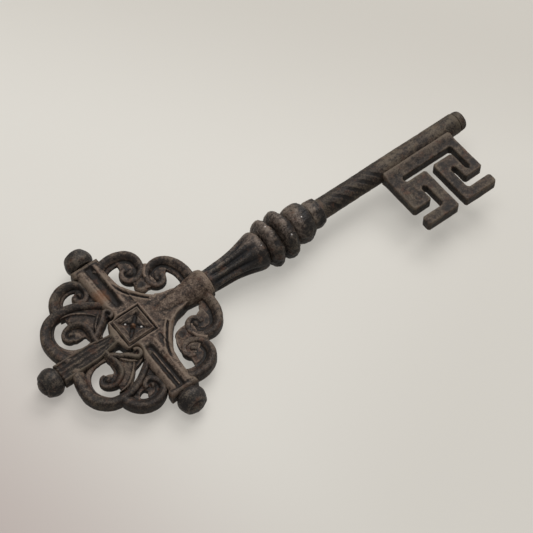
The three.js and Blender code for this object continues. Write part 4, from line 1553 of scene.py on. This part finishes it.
@dataclass
class Boss:
    """The square boss on each face of the hub: a raised frame with a faceted stud sunk in it."""

    half_width: float = 6.4
    rim: float = 2.4
    lip: float = 0.5  # width of the light crest along the frame's edge
    floor: float = 2.7
    least: float = 0.08  # thickness over the floor
    stud_gap: float = 0.1
    top: float = 4.45
    top_drop: float = 0.6  # how far the lip falls to its outer edge
    stud_top: float = 4.4
    stud_floor: float = 3.5
    groove_depth: float = 1.15
    groove_width: float = 1.15
    groove_start: Ramp = (0.6, 1.6)
    groove_fade: float = 0.9  # on both sides of the frame's inner edge
    pip: float = 1.1
    pip_width: float = 0.85
    facet_start: float = 1.2
    facet_rise: float = 0.25
    facet_crest: Crest = Crest(2.2, 0.2, 0.7)
    slope_inset: float = 0.6  # how far inside the frame its slope would start
    lip_rise_share: float = 0.25  # of the frame's rise, which the lip makes
    lip_slope: float = 0.3
    lip_flat: float = 0.2
    long_hollow: float = 4.2  # how far the dark runs towards two of the corners
    short_hollow: float = 2.9  # and towards the other two
    dark_width: float = 1.5
    dark_fade: float = 0.9
    dark_start: Ramp = (0.7, 1.6)
    brown_slope: Ramp = (1.5, 4.5)
    step: float = 0.14

    @property
    def inner(self) -> float:
        """Half width of the square inside the frame."""
        return self.half_width - self.rim

    @staticmethod
    def reach(x: np.ndarray, y: np.ndarray) -> np.ndarray:
        """How far out the square through each place lies."""
        return np.maximum(np.abs(x), np.abs(y))

    def square(self, face: Face, half: float, height: Callable[[np.ndarray, np.ndarray], np.ndarray],
               low: float) -> tuple[np.ndarray, list[list[int]]]:
        """A square block whose upper side is a height field.

        Args:
            face: Front or back.
            half: Half the square's width.
            height: The upper side over x and y.
            low: The flat under side.

        Returns:
            Points and faces.
        """
        count = int(round(2 * half / self.step)) + 1
        line = np.linspace(-half, half, count)
        x, y = np.meshgrid(line, line, indexing="ij")
        upper = np.column_stack([x.ravel(), y.ravel(), (height(x, y) * face.value).ravel()])
        lower = upper.copy()
        lower[:, 2] = low * face.value
        number = np.arange(count * count).reshape(count, count)
        cells = number[:-1, :-1], number[1:, :-1], number[1:, 1:], number[:-1, 1:]
        quads = np.stack(cells, axis=-1).reshape(-1, 4)
        ring = np.concatenate([number[:-1, 0], number[-1, :-1], number[:0:-1, -1], number[0, :0:-1]])
        after = np.roll(ring, -1)
        walls = np.column_stack([after, ring, count * count + ring, count * count + after])
        faces = np.vstack([quads, count * count + quads[:, ::-1], walls])
        return np.vstack([upper, lower]), faces[:, ::face.value].tolist()

    def frame_height(self, x: np.ndarray, y: np.ndarray) -> np.ndarray:
        """The frame: a narrow lip and a slope down to the stud, notched at its corners.

        Args:
            x: Each place's x in mm.
            y: Each place's y in mm.

        Returns:
            The heights in mm.
        """
        reach, crest = self.reach(x, y), self.half_width - self.lip
        rise = (1.0 - self.lip_rise_share) * eased(reach, self.inner - self.slope_inset, crest)
        rise += self.lip_rise_share * eased(reach, crest - self.lip_slope, crest)
        height = self.stud_floor + rise * (self.top - self.stud_floor) - self.notch(x, y)
        height -= self.top_drop * eased(reach, crest + self.lip_flat, self.half_width)
        return np.maximum(height, self.floor + self.least)

    def notch(self, x: np.ndarray, y: np.ndarray) -> np.ndarray:
        """The depth of the four hollows that run from the middle towards the corners.

        Args:
            x: Each place's x in mm.
            y: Each place's y in mm.

        Returns:
            The depths in mm.
        """
        reach = self.reach(x, y)
        end = eased(reach, self.inner - self.groove_fade, self.inner + self.groove_fade)
        length = eased(reach, *self.groove_start) * (1.0 - end)
        return self.groove_depth * bell(np.abs(x) - np.abs(y), self.groove_width) * length

    def stud_height(self, x: np.ndarray, y: np.ndarray) -> np.ndarray:
        """The stud: four facets that rise to its sides, hollows between them and a pip in the middle.

        Args:
            x: Each place's x in mm.
            y: Each place's y in mm.

        Returns:
            The heights in mm.
        """
        reach = self.reach(x, y)
        height = self.stud_floor + self.facet_rise * eased(reach, self.facet_start, self.inner)
        height += self.facet_crest.at(reach)
        height += self.pip * bell(np.hypot(x, y), self.pip_width) - self.notch(x, y)
        return np.clip(height, self.floor + 2 * self.stud_gap, self.stud_top)

    def build(self, foundry: Foundry) -> None:
        """Makes both faces.

        Args:
            foundry: The workshop.
        """
        gap = self.stud_gap
        blocks = (
            ("frame", 60.0, self.half_width, self.frame_height, self.floor),
            ("stud", 64.0, self.inner - gap, self.stud_height, self.floor + gap),
        )
        skin = {"Coarse_Height": 0.00012, "Fine_Height": 0.00006, "Cavity_Depth": 0.0005, "Cavity_Reach": 60}
        for face in Face:
            for name, seed, half, height, low in blocks:
                piece = foundry.rough(*self.square(face, half, height, low))
                nodes = [f"boss_{name}_{face.word}"]
                foundry.finish(piece, nodes, Slot.RELIEF, seed + face.value, self.patina_and_shading, **skin)

    def patina_and_shading(self, places: np.ndarray) -> np.ndarray:
        """Brown on the slopes and the lip, dark in the hollows.

        Args:
            places: Points in mm from the bow's middle.

        Returns:
            How brown each place is, as finish takes it.
        """
        x, y = places[:, 0], places[:, 1]
        reach = self.reach(x, y)
        end = np.where(x * y > 0, self.long_hollow, self.short_hollow)
        dark = 1.0 - eased(reach, end - self.dark_fade, end + self.dark_fade)
        dark *= bell(np.abs(x) - np.abs(y), self.dark_width)
        brown = 0.6 * (1.0 - dark) * (0.3 + 0.7 * eased(reach, *self.brown_slope))
        return brown - dark * eased(reach, *self.dark_start)


@dataclass
class Finials:
    """The three knobs at the arms' ends."""

    peg: Points = ((33.4, 0.0, 0), (33.4, 1.7, 0), (37.3, 1.7, 0))
    knob: Points = (
        (37.45, 4.5, 0), (38.0, 5.0, 0), (38.6, 5.55, 0),
        (39.4, 6.0, 0), (40.3, 6.25, 0), (41.2, 6.28, 0), (42.2, 6.1, 0), (43.2, 5.75, 0), (44.1, 5.4, 0),
        (44.9, 5.0, 0), (45.3, 4.55, 0), (45.15, 4.15, 0), (45.3, 3.75, 0), (45.9, 3.3, 0), (46.4, 2.5, 0.1),
        (46.7, 1.4, 0.15), (46.85, 0.0, 0),
    )
    angles: Mapping[str, float] = field(default_factory=lambda: {"left": 90.0, "right": -90.0, "rear": 180.0})

    def build(self, foundry: Foundry) -> None:
        """Makes the knobs.

        Args:
            foundry: The workshop.
        """
        profile = [*self.peg, *spline(self.knob, 4)]
        for number, (word, degrees) in enumerate(self.angles.items()):
            turn = np.array(Matrix.Rotation(math.radians(degrees), 3, "Z"))
            piece = foundry.cast(profile, Slot.TURNED, Starts=3)
            foundry.carved(piece, lambda places: places @ turn.T)
            foundry.finish(piece, [f"finial_{word}"], Slot.TURNED, 70.0 + number, 0.12,
                           Coarse_Height=0.00024, Fine_Height=0.00012)


@dataclass(frozen=True)
class Ring:
    """A turned ring on the shank."""

    name: str
    start: float
    width: float
    radius: float
    face_radius: float
    fullness: float  # below 1 the crown is fuller than a sine
    lobe: float = 0.14
    skin_room: float = 0.2  # what the cast skin may add to the radius
    steps: int = 28

    def profile(self) -> list[tuple[float, ...]]:
        """The ring's profile from pole to pole.

        Returns:
            Station, radius and lobe height in mm.
        """
        rows = [(self.start, 0.0, 0.0)]
        for i in range(self.steps + 1):
            turn = math.pi * i / self.steps
            swell = math.sin(turn) ** self.fullness
            radius = self.face_radius + (self.radius - self.face_radius - self.skin_room) * swell
            rows.append((self.start + self.width * (1 - math.cos(turn)) / 2, radius, self.lobe * swell))
        return [*rows, (self.start + self.width, 0.0, 0.0)]

    def patina_and_shading(self, places: np.ndarray) -> np.ndarray:
        """Painted light and shade: brown on the left, as if lit from the window, and dark on the right, as if
        in shade.
        """
        x, y, z = places.T
        return eased(0.25 * y + 0.35 * z - (x - self.start - self.width / 2), 0.0, 4.0) - 0.2


@dataclass
class Shank:
    """The neck, the rings, the twisted stem, the barrel and the tip."""

    neck: Points = (
        (38.0, 0.0, 0), (38.0, 5.15, 0), (38.4, 5.45, 0), (39.2, 5.35, 0.1), (41.0, 5.15, 0.5),
        (44.0, 5.15, 0.65), (48.0, 5.3, 0.7), (52.0, 5.75, 0.7), (55.5, 6.45, 0.65), (58.5, 7.35, 0.5),
        (61.0, 8.25, 0.25), (62.8, 8.75, 0.08), (64.0, 8.9, 0.02), (65.2, 8.7, 0.0), (66.1, 8.0, 0.0),
        (66.6, 7.2, 0), (66.6, 0.0, 0),
    )
    rings: tuple[Ring, ...] = (
        Ring("ring_first", 66.9, 7.1, 11.3, 6.3, 1.25),
        Ring("ring_second", 74.3, 7.2, 11.6, 6.3, 1.15),
        Ring("ring_bulb", 81.8, 10.2, 9.3, 5.6, 0.85),
        Ring("ring_collar", 92.3, 6.0, 6.8, 5.5, 0.7),
    )
    stem_start: float = 98.6
    stem_radius: float = 4.85
    stem_end_radius: float = 4.3
    stem_ridge: float = 0.03
    twist_starts: int = 5
    twist_pitch: float = 32.0
    dent_share: float = 0.08  # of the radius
    barrel_start: float = 128.1
    barrel_end: float = 176.4
    barrel_radius: float = 4.9
    barrel_end_radius: float = 4.6
    station_step: float = 0.35
    barrel_brown: Ramp = (124.0, 134.0)
    barrel_dark: Ramp = (163.0, 172.0)  # towards the tip
    tip: Points = (
        (176.6, 0.0, 0), (176.6, 4.35, 0), (176.9, 4.62, 0), (177.6, 4.68, 0), (178.8, 4.6, 0),
        (179.8, 4.15, 0), (180.35, 3.3, 0), (180.56, 2.2, 0), (180.6, 0.0, 0),
    )

    def build(self, foundry: Foundry) -> None:
        """Makes the pieces from the neck to the tip.

        Args:
            foundry: The workshop.
        """
        neck = [self.neck[0], *spline(self.neck[1:-1], 6), self.neck[-1]]
        piece = foundry.cast(neck, Slot.TURNED, Starts=9, Sharpness=0.6, Segments=144)
        foundry.finish(piece, ["neck"], Slot.TURNED, 80.0, self.neck_patina_and_shading)
        for number, ring in enumerate(self.rings):
            piece = foundry.cast(ring.profile(), Slot.TURNED, Starts=7 + number, Segments=160)
            foundry.finish(piece, [ring.name], Slot.TURNED, 81.0 + number, ring.patina_and_shading, Coarse_Height=0.0008,
                           Coarse_Scale=185.0, Fine_Height=0.0004, Fine_Scale=620.0, Cavity_Depth=0.00045)
        piece = foundry.cast(self.rod(), Slot.SHANK, Starts=self.twist_starts, Segments=120, Sharpness=0.6,
                             Turns_per_Metre=1.0 / (self.twist_pitch * MM))
        foundry.finish(foundry.carved(piece, self.dented), ["shank"], Slot.SHANK, 90.0, self.rod_patina_and_shading,
                       Coarse_Height=0.00022, Cavity_Depth=0.00016)
        foundry.finish(foundry.cast(self.tip, Slot.SHANK), ["tip_cap"], Slot.SHANK, 92.0, 0.12)

    @staticmethod
    def neck_patina_and_shading(places: np.ndarray) -> np.ndarray:
        """Brown on the flare and along the upper +Y side, dark along the top where it leans towards -Y.

        Args:
            places: Points in mm from the bow's middle.

        Returns:
            How brown each place is, as finish takes it.
        """
        x, y, z = places.T
        upper = eased((0.9 * z - 0.44 * y) / np.hypot(y, z), 0.75, 0.97) * (1.0 - 0.6 * eased(x, 57.0, 63.0))
        brown = 0.75 * eased(x, 52.0, 62.0) * eased(y + z, -6.0, 4.0) + 0.25 * eased(y + z, 0.0, 5.0)
        return brown * (1.0 - 0.9 * upper) - 0.22 * upper

    def blots(self, places: np.ndarray) -> np.ndarray:
        """How far each place lies in one of the twist's dark, slanting dents, from 0 to 1.

        Args:
            places: Points in mm from the bow's middle.

        Returns:
            The depth as a share of the deepest.
        """
        x, y, z = places.T
        angle = np.arctan2(-y, np.abs(z))
        wave = np.sin(self.twist_starts * (math.tau * (x - self.stem_start) / self.twist_pitch - angle))
        along = eased(x, self.stem_start + 1.0, self.stem_start + 4.0)
        along *= 1.0 - eased(x, self.barrel_start, self.barrel_start + 6.0)
        return eased(wave, -0.1, 0.8) * bell(angle - 0.6, 0.6) * along * (0.75 + 0.25 * np.sin(0.9 * x))

    def dented(self, places: np.ndarray) -> np.ndarray:
        """Sinks the dents."""
        scale = 1.0 - self.dent_share * self.blots(places)
        return places * np.column_stack([np.ones_like(scale), scale, scale])

    def rod_patina_and_shading(self, places: np.ndarray) -> np.ndarray:
        """Browner along the plain barrel than on the twist and at the tip, black in the dents.

        Args:
            places: Points in mm from the bow's middle.

        Returns:
            How brown each place is, as finish takes it.
        """
        x, dent = places[:, 0], self.blots(places)
        brown = 0.02 + 0.42 * eased(x, *self.barrel_brown) - 0.3 * eased(x, *self.barrel_dark)
        return brown * (1.0 - dent) - 0.7 * dent

    def rod(self) -> np.ndarray:
        """The profile of the twisted stem and the plain barrel as one rod.

        Returns:
            Station, radius and lobe height in mm.
        """
        first, last = self.stem_start - 0.5, self.barrel_end
        station = np.arange(self.stem_start - 0.4, last, self.station_step)
        fade = eased(station, self.stem_start, self.stem_start + 1.5)
        fade *= 1.0 - eased(station, self.barrel_start - 1.0, self.barrel_start + 7.0)
        plain = eased(station, self.barrel_start - 4.0, self.barrel_start + 4.0)
        radius = self.stem_radius + (self.barrel_radius - self.stem_radius) * plain
        return np.vstack([
            (first, 0.0, 0.0), (first, self.stem_end_radius, 0.0),
            np.column_stack([station, radius, self.stem_ridge * fade]),
            (last, self.barrel_end_radius, 0.0), (last, 0.0, 0.0),
        ])


@dataclass
class Bit:
    """The flat bit with its mirrored meander: slots by how far from the middle or how deep they lie."""

    start: float = 130.7
    width: float = 38.8
    reach: float = 36.3
    half_thickness: float = 2.8
    root_depth: float = 3.4
    root_swell: float = 1.1
    cross_slot: tuple[float, float] = (9.6, 12.9)
    ward_slot: tuple[float, float] = (12.9, 15.3)
    ward_depth: float = 23.6
    hook_slot: tuple[float, float] = (7.0, 9.8)
    hook_top: float = 18.9
    exit_slot: tuple[float, float] = (26.5, 31.3)
    split_half_width: float = 2.1
    draft: float = 0.1  # how much narrower each slot's side is at mid thickness
    corner: float = 0.9
    rounding: float = 0.9
    edge_drop: float = 0.6
    blind_slot: tuple[float, float] = (15.6, 22.0)  # depths between which the blind slot lies
    blind_shift: float = 0.3  # from the middle of the ward slot's mirror image
    blind_fade: Ramp = (14.5, 19.0)
    blind_lines: tuple[Crest, ...] = (Crest(1.2, -0.16, 0.6), Crest(2.2, 0.12, 0.5))
    swell_gap: float = 0.4  # between the root's swell and the cross slot
    swell_margin: float = 0.2  # between it and the plate's edge

    @property
    def middle(self) -> float:
        """Where the mirrored halves meet."""
        return self.start + self.width / 2

    def outline(self) -> np.ndarray:
        """The plate in plan, with its corners cut.

        Returns:
            Its corners in mm.
        """
        draft, half, split = self.draft, self.width / 2, self.split_half_width - self.draft
        hook_top, ward_end = self.hook_top + draft, self.ward_depth - draft
        (near, far), (inner, outer), (high, low), (hook_near, hook_far) = (
            (start + draft, end - draft)
            for start, end in (self.cross_slot, self.ward_slot, self.exit_slot, self.hook_slot)
        )
        right = [
            (half, self.root_depth), (half, high), (hook_far, high), (hook_far, hook_top),
            (hook_near, hook_top), (hook_near, low), (half, low), (half, self.reach),
            (split, self.reach), (split, far),
        ]
        ward = [
            (inner, far), (inner, ward_end), (outer, ward_end), (outer, near), (-inner, near), (-inner, far),
        ]
        left = [(-x, depth) for x, depth in reversed(right)]
        corners = np.array([(self.middle + x, -depth) for x, depth in [*right, *ward, *left]])
        out = []
        for i, spot in enumerate(corners):
            for other in (corners[i - 1], corners[(i + 1) % len(corners)]):
                length = np.linalg.norm(other - spot)
                out.append(spot + (other - spot) / length * min(self.corner, length * 0.45))
        return np.array(out)

    def relief(self, places: np.ndarray) -> np.ndarray:
        """Rounds the edges, swells the root and sinks the blind slot on both faces.

        Args:
            places: Points in mm from the bow's middle.

        Returns:
            The new points.
        """
        depth = -places[:, 1]
        edge = away_from(places, self.outline(), closed=True)
        height = self.half_thickness - self.edge_drop * edge_fall(edge, self.rounding)
        root = 1.0 - eased(depth, self.root_depth, self.cross_slot[0] - self.swell_gap)
        height += self.root_swell * root * (edge > self.swell_margin)
        blind_x = self.middle - sum(self.ward_slot) / 2 + self.blind_shift
        blind = away_from(places, np.array([(blind_x, -end) for end in self.blind_slot]))
        height += sum(line.at(blind) for line in self.blind_lines) * eased(depth, *self.blind_fade)
        return raised(places, height / self.half_thickness)

    def build(self, foundry: Foundry) -> None:
        """Makes the bit.

        Args:
            foundry: The workshop.
        """
        slab = foundry.slab(self.outline(), self.half_thickness)
        piece = foundry.carved(foundry.fused([slab]), self.relief)
        foundry.finish(piece, ["bit"], Slot.SHANK, 95.0, self.patina_and_shading, Coarse_Height=0.0002)

    def patina_and_shading(self, places: np.ndarray) -> np.ndarray:
        """Brown faces, browner on the root, and dark walls."""
        root = 1.0 - eased(-places[:, 1], self.root_depth, self.cross_slot[0])
        return eased(np.abs(places[:, 2]), 0.6, 2.2) * (0.5 + 0.4 * root)


# Stage


@dataclass(frozen=True)
class Lamp:
    """An area lamp that faces the key."""

    name: str
    place: Place  # m
    sides: tuple[float, float]  # m
    power: float  # W

    def build(self) -> None:
        """Hangs the lamp."""
        data = bpy.data.lights.new(self.name, "AREA")
        data.shape = "RECTANGLE"
        data.size, data.size_y = self.sides
        data.energy = self.power
        lamp = bpy.data.objects.new(self.name, data)
        lamp.location = self.place
        lamp.rotation_euler = Vector(self.place).to_track_quat("Z", "Y").to_euler()
        bpy.context.scene.collection.objects.link(lamp)


@dataclass
class Stage:
    """The pale table, its light and the camera. Its ramps are in metres."""

    floor_rests: tuple[Place, ...] = ((-107.9, 0.0, -6.33), (11.0, 0.0, -11.65), (-66.9, -41.0, -6.33))
    floor_size: float = 16.0  # m
    floor_colour: Colour = (0.65, 0.624, 0.573)
    # painted shade towards the picture's top and right
    floor_painted_shade: Colour = (0.54, 0.512, 0.463)
    # painted shade in the picture's lower left corner
    floor_corner: Colour = (0.46, 0.4, 0.372)
    floor_glow: float = 0.57  # share of the floor's own colour that the camera sees, for faint shadows
    floor_roughness: float = 0.85
    floor_specular: float = 0.1
    picture_right: tuple[float, float] = (0.794, -0.607)  # across and up the picture, on the floor
    picture_up: tuple[float, float] = (0.607, 0.794)
    local_ramp: Ramp = (0.3, 0.6)
    far_ramp: Ramp = (0.03, 0.18)
    aside_ramp: Ramp = (0.0, 0.12)
    corner_ramp: Ramp = (-0.27, -0.08)
    horizon_ramp: Ramp = (0.3, 1.2)
    backdrop: Colour = (0.68, 0.655, 0.61)
    surround: Colour = (0.98, 0.99, 1.0)
    surround_strength: float = 0.3
    lamps: tuple[Lamp, ...] = (
        Lamp("window", (0.86, 0.56, 0.99), (1.0, 0.6), 14.8),
        Lamp("ceiling", (0.1, 0.2, 1.3), (1.0, 0.8), 9.0),
    )
    camera_target: Place = (-0.00397, -0.00896, 0.0)  # m
    camera_azimuth: float = -37.39
    camera_elevation: float = 58.1
    camera_distance: float = 0.7329  # m
    camera_near: float = 0.01  # m
    lens: float = 115.88

    def floor(self) -> None:
        """The table top, tilted to touch the three points that the key rests on."""
        a, b, c = (Vector(p) * MM for p in self.floor_rests)
        normal = (b - a).cross(c - a).normalized()
        normal = -normal if normal.z < 0 else normal
        turn = normal.to_track_quat("Z", "Y").to_matrix().to_4x4()
        mesh = bpy.data.meshes.new("floor")
        half = self.floor_size / 2
        corners = [(-half, -half, 0), (half, -half, 0), (half, half, 0), (-half, half, 0)]
        mesh.from_pydata(corners, [], [(0, 1, 2, 3)])
        mesh.transform(Matrix.Translation(a) @ turn)
        mesh.materials.append(self.table_top())
        floor = bpy.data.objects.new("floor", mesh)
        bpy.context.scene.collection.objects.link(floor)
        floor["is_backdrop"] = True

    def table_top(self) -> bpy.types.Material:
        """Matt table with painted shade that darkens it away from the key, towards the picture's top, right
        and lower left, and glows faintly for the camera.

        Returns:
            The material.
        """
        material = bpy.data.materials.new("table_top")
        graph = Graph.of(material)
        place = graph.other(graph.node("ShaderNodeTexCoord"), "Object")
        x, y, _ = graph.parts(place)
        right, up = (x * part[0] + y * part[1] for part in (self.picture_right, self.picture_up))
        distance = graph.vector("LENGTH", place, output="Value")
        local = 1.0 - graph.ramped(distance, *self.local_ramp)
        # Painted shade: the table darkens towards the picture's top and right and in its lower left corner,
        # as uneven light would.
        far = graph.ramped(up + right * 0.35, *self.far_ramp)
        aside = graph.ramped(right - up * 0.4, *self.aside_ramp) * 0.5
        colour = graph.mixed(graph.maths("MAXIMUM", far, aside) * local, self.floor_colour, self.floor_painted_shade)
        near = 1.0 - graph.ramped(up + right, *self.corner_ramp)
        colour = graph.mixed(near * local, colour, self.floor_corner)
        horizon = graph.ramped(distance, *self.horizon_ramp)
        colour = graph.mixed(horizon, colour, self.backdrop)
        shader = graph.node("ShaderNodeBsdfPrincipled", inputs={
            "Base Color": colour, "Roughness": self.floor_roughness,
            "Specular IOR Level": self.floor_specular,
        })
        glow = graph.node("ShaderNodeEmission", inputs={"Color": colour})
        seen = graph.seen_rays() * (horizon * (1.0 - self.floor_glow) + self.floor_glow)
        both = graph.node("ShaderNodeMixShader", inputs={0: seen, 1: shader, 2: glow})
        graph.node("ShaderNodeOutputMaterial", inputs={"Surface": both})
        return material

    def light(self) -> None:
        """Soft overhead light and an even surround."""
        world = bpy.data.worlds.new("room")
        bpy.context.scene.world = world
        graph = Graph.of(world)
        around, seen = (
            graph.node("ShaderNodeBackground", inputs={"Color": (*colour, 1.0), "Strength": strength})
            for colour, strength in ((self.surround, self.surround_strength), (self.backdrop, 1.0))
        )
        both = graph.node("ShaderNodeMixShader", inputs={0: graph.seen_rays(), 1: around, 2: seen})
        graph.node("ShaderNodeOutputWorld", inputs={"Surface": both})
        for lamp in self.lamps:
            lamp.build()

    def camera(self) -> None:
        """The photograph's viewpoint."""
        azimuth, elevation = math.radians(self.camera_azimuth), math.radians(self.camera_elevation)
        level = math.cos(elevation)
        back = Vector((math.sin(azimuth) * level, -math.cos(azimuth) * level, math.sin(elevation)))
        data = bpy.data.cameras.new("camera")
        data.lens = self.lens
        data.clip_start = self.camera_near
        camera = bpy.data.objects.new("camera", data)
        camera.location = Vector(self.camera_target) + back * self.camera_distance
        camera.rotation_euler = back.to_track_quat("Z", "Y").to_euler()
        bpy.context.scene.collection.objects.link(camera)
        bpy.context.scene.camera = camera

    def build(self) -> None:
        """Sets the stage."""
        self.camera()
        self.floor()
        self.light()
        bpy.context.scene.view_settings.view_transform = "Standard"
        LOG.info("stage set")


def corners() -> list[list[float]]:
    """The whole object's box as plain lists."""
    return [[float(v) for v in corner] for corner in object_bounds()]


def main() -> None:
    """Builds the key and its stage."""
    logging.basicConfig(level=logging.INFO, format="%(name)s: %(message)s")
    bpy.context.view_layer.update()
    Stage().build()
    foundry = Foundry()
    for part in (BowCross(), Boss(), Scrollwork(), Finials(), Shank(), Bit()):
        part.build(foundry)
    LOG.info("%d pieces", foundry.count)


if __name__ == "__main__":
    main()
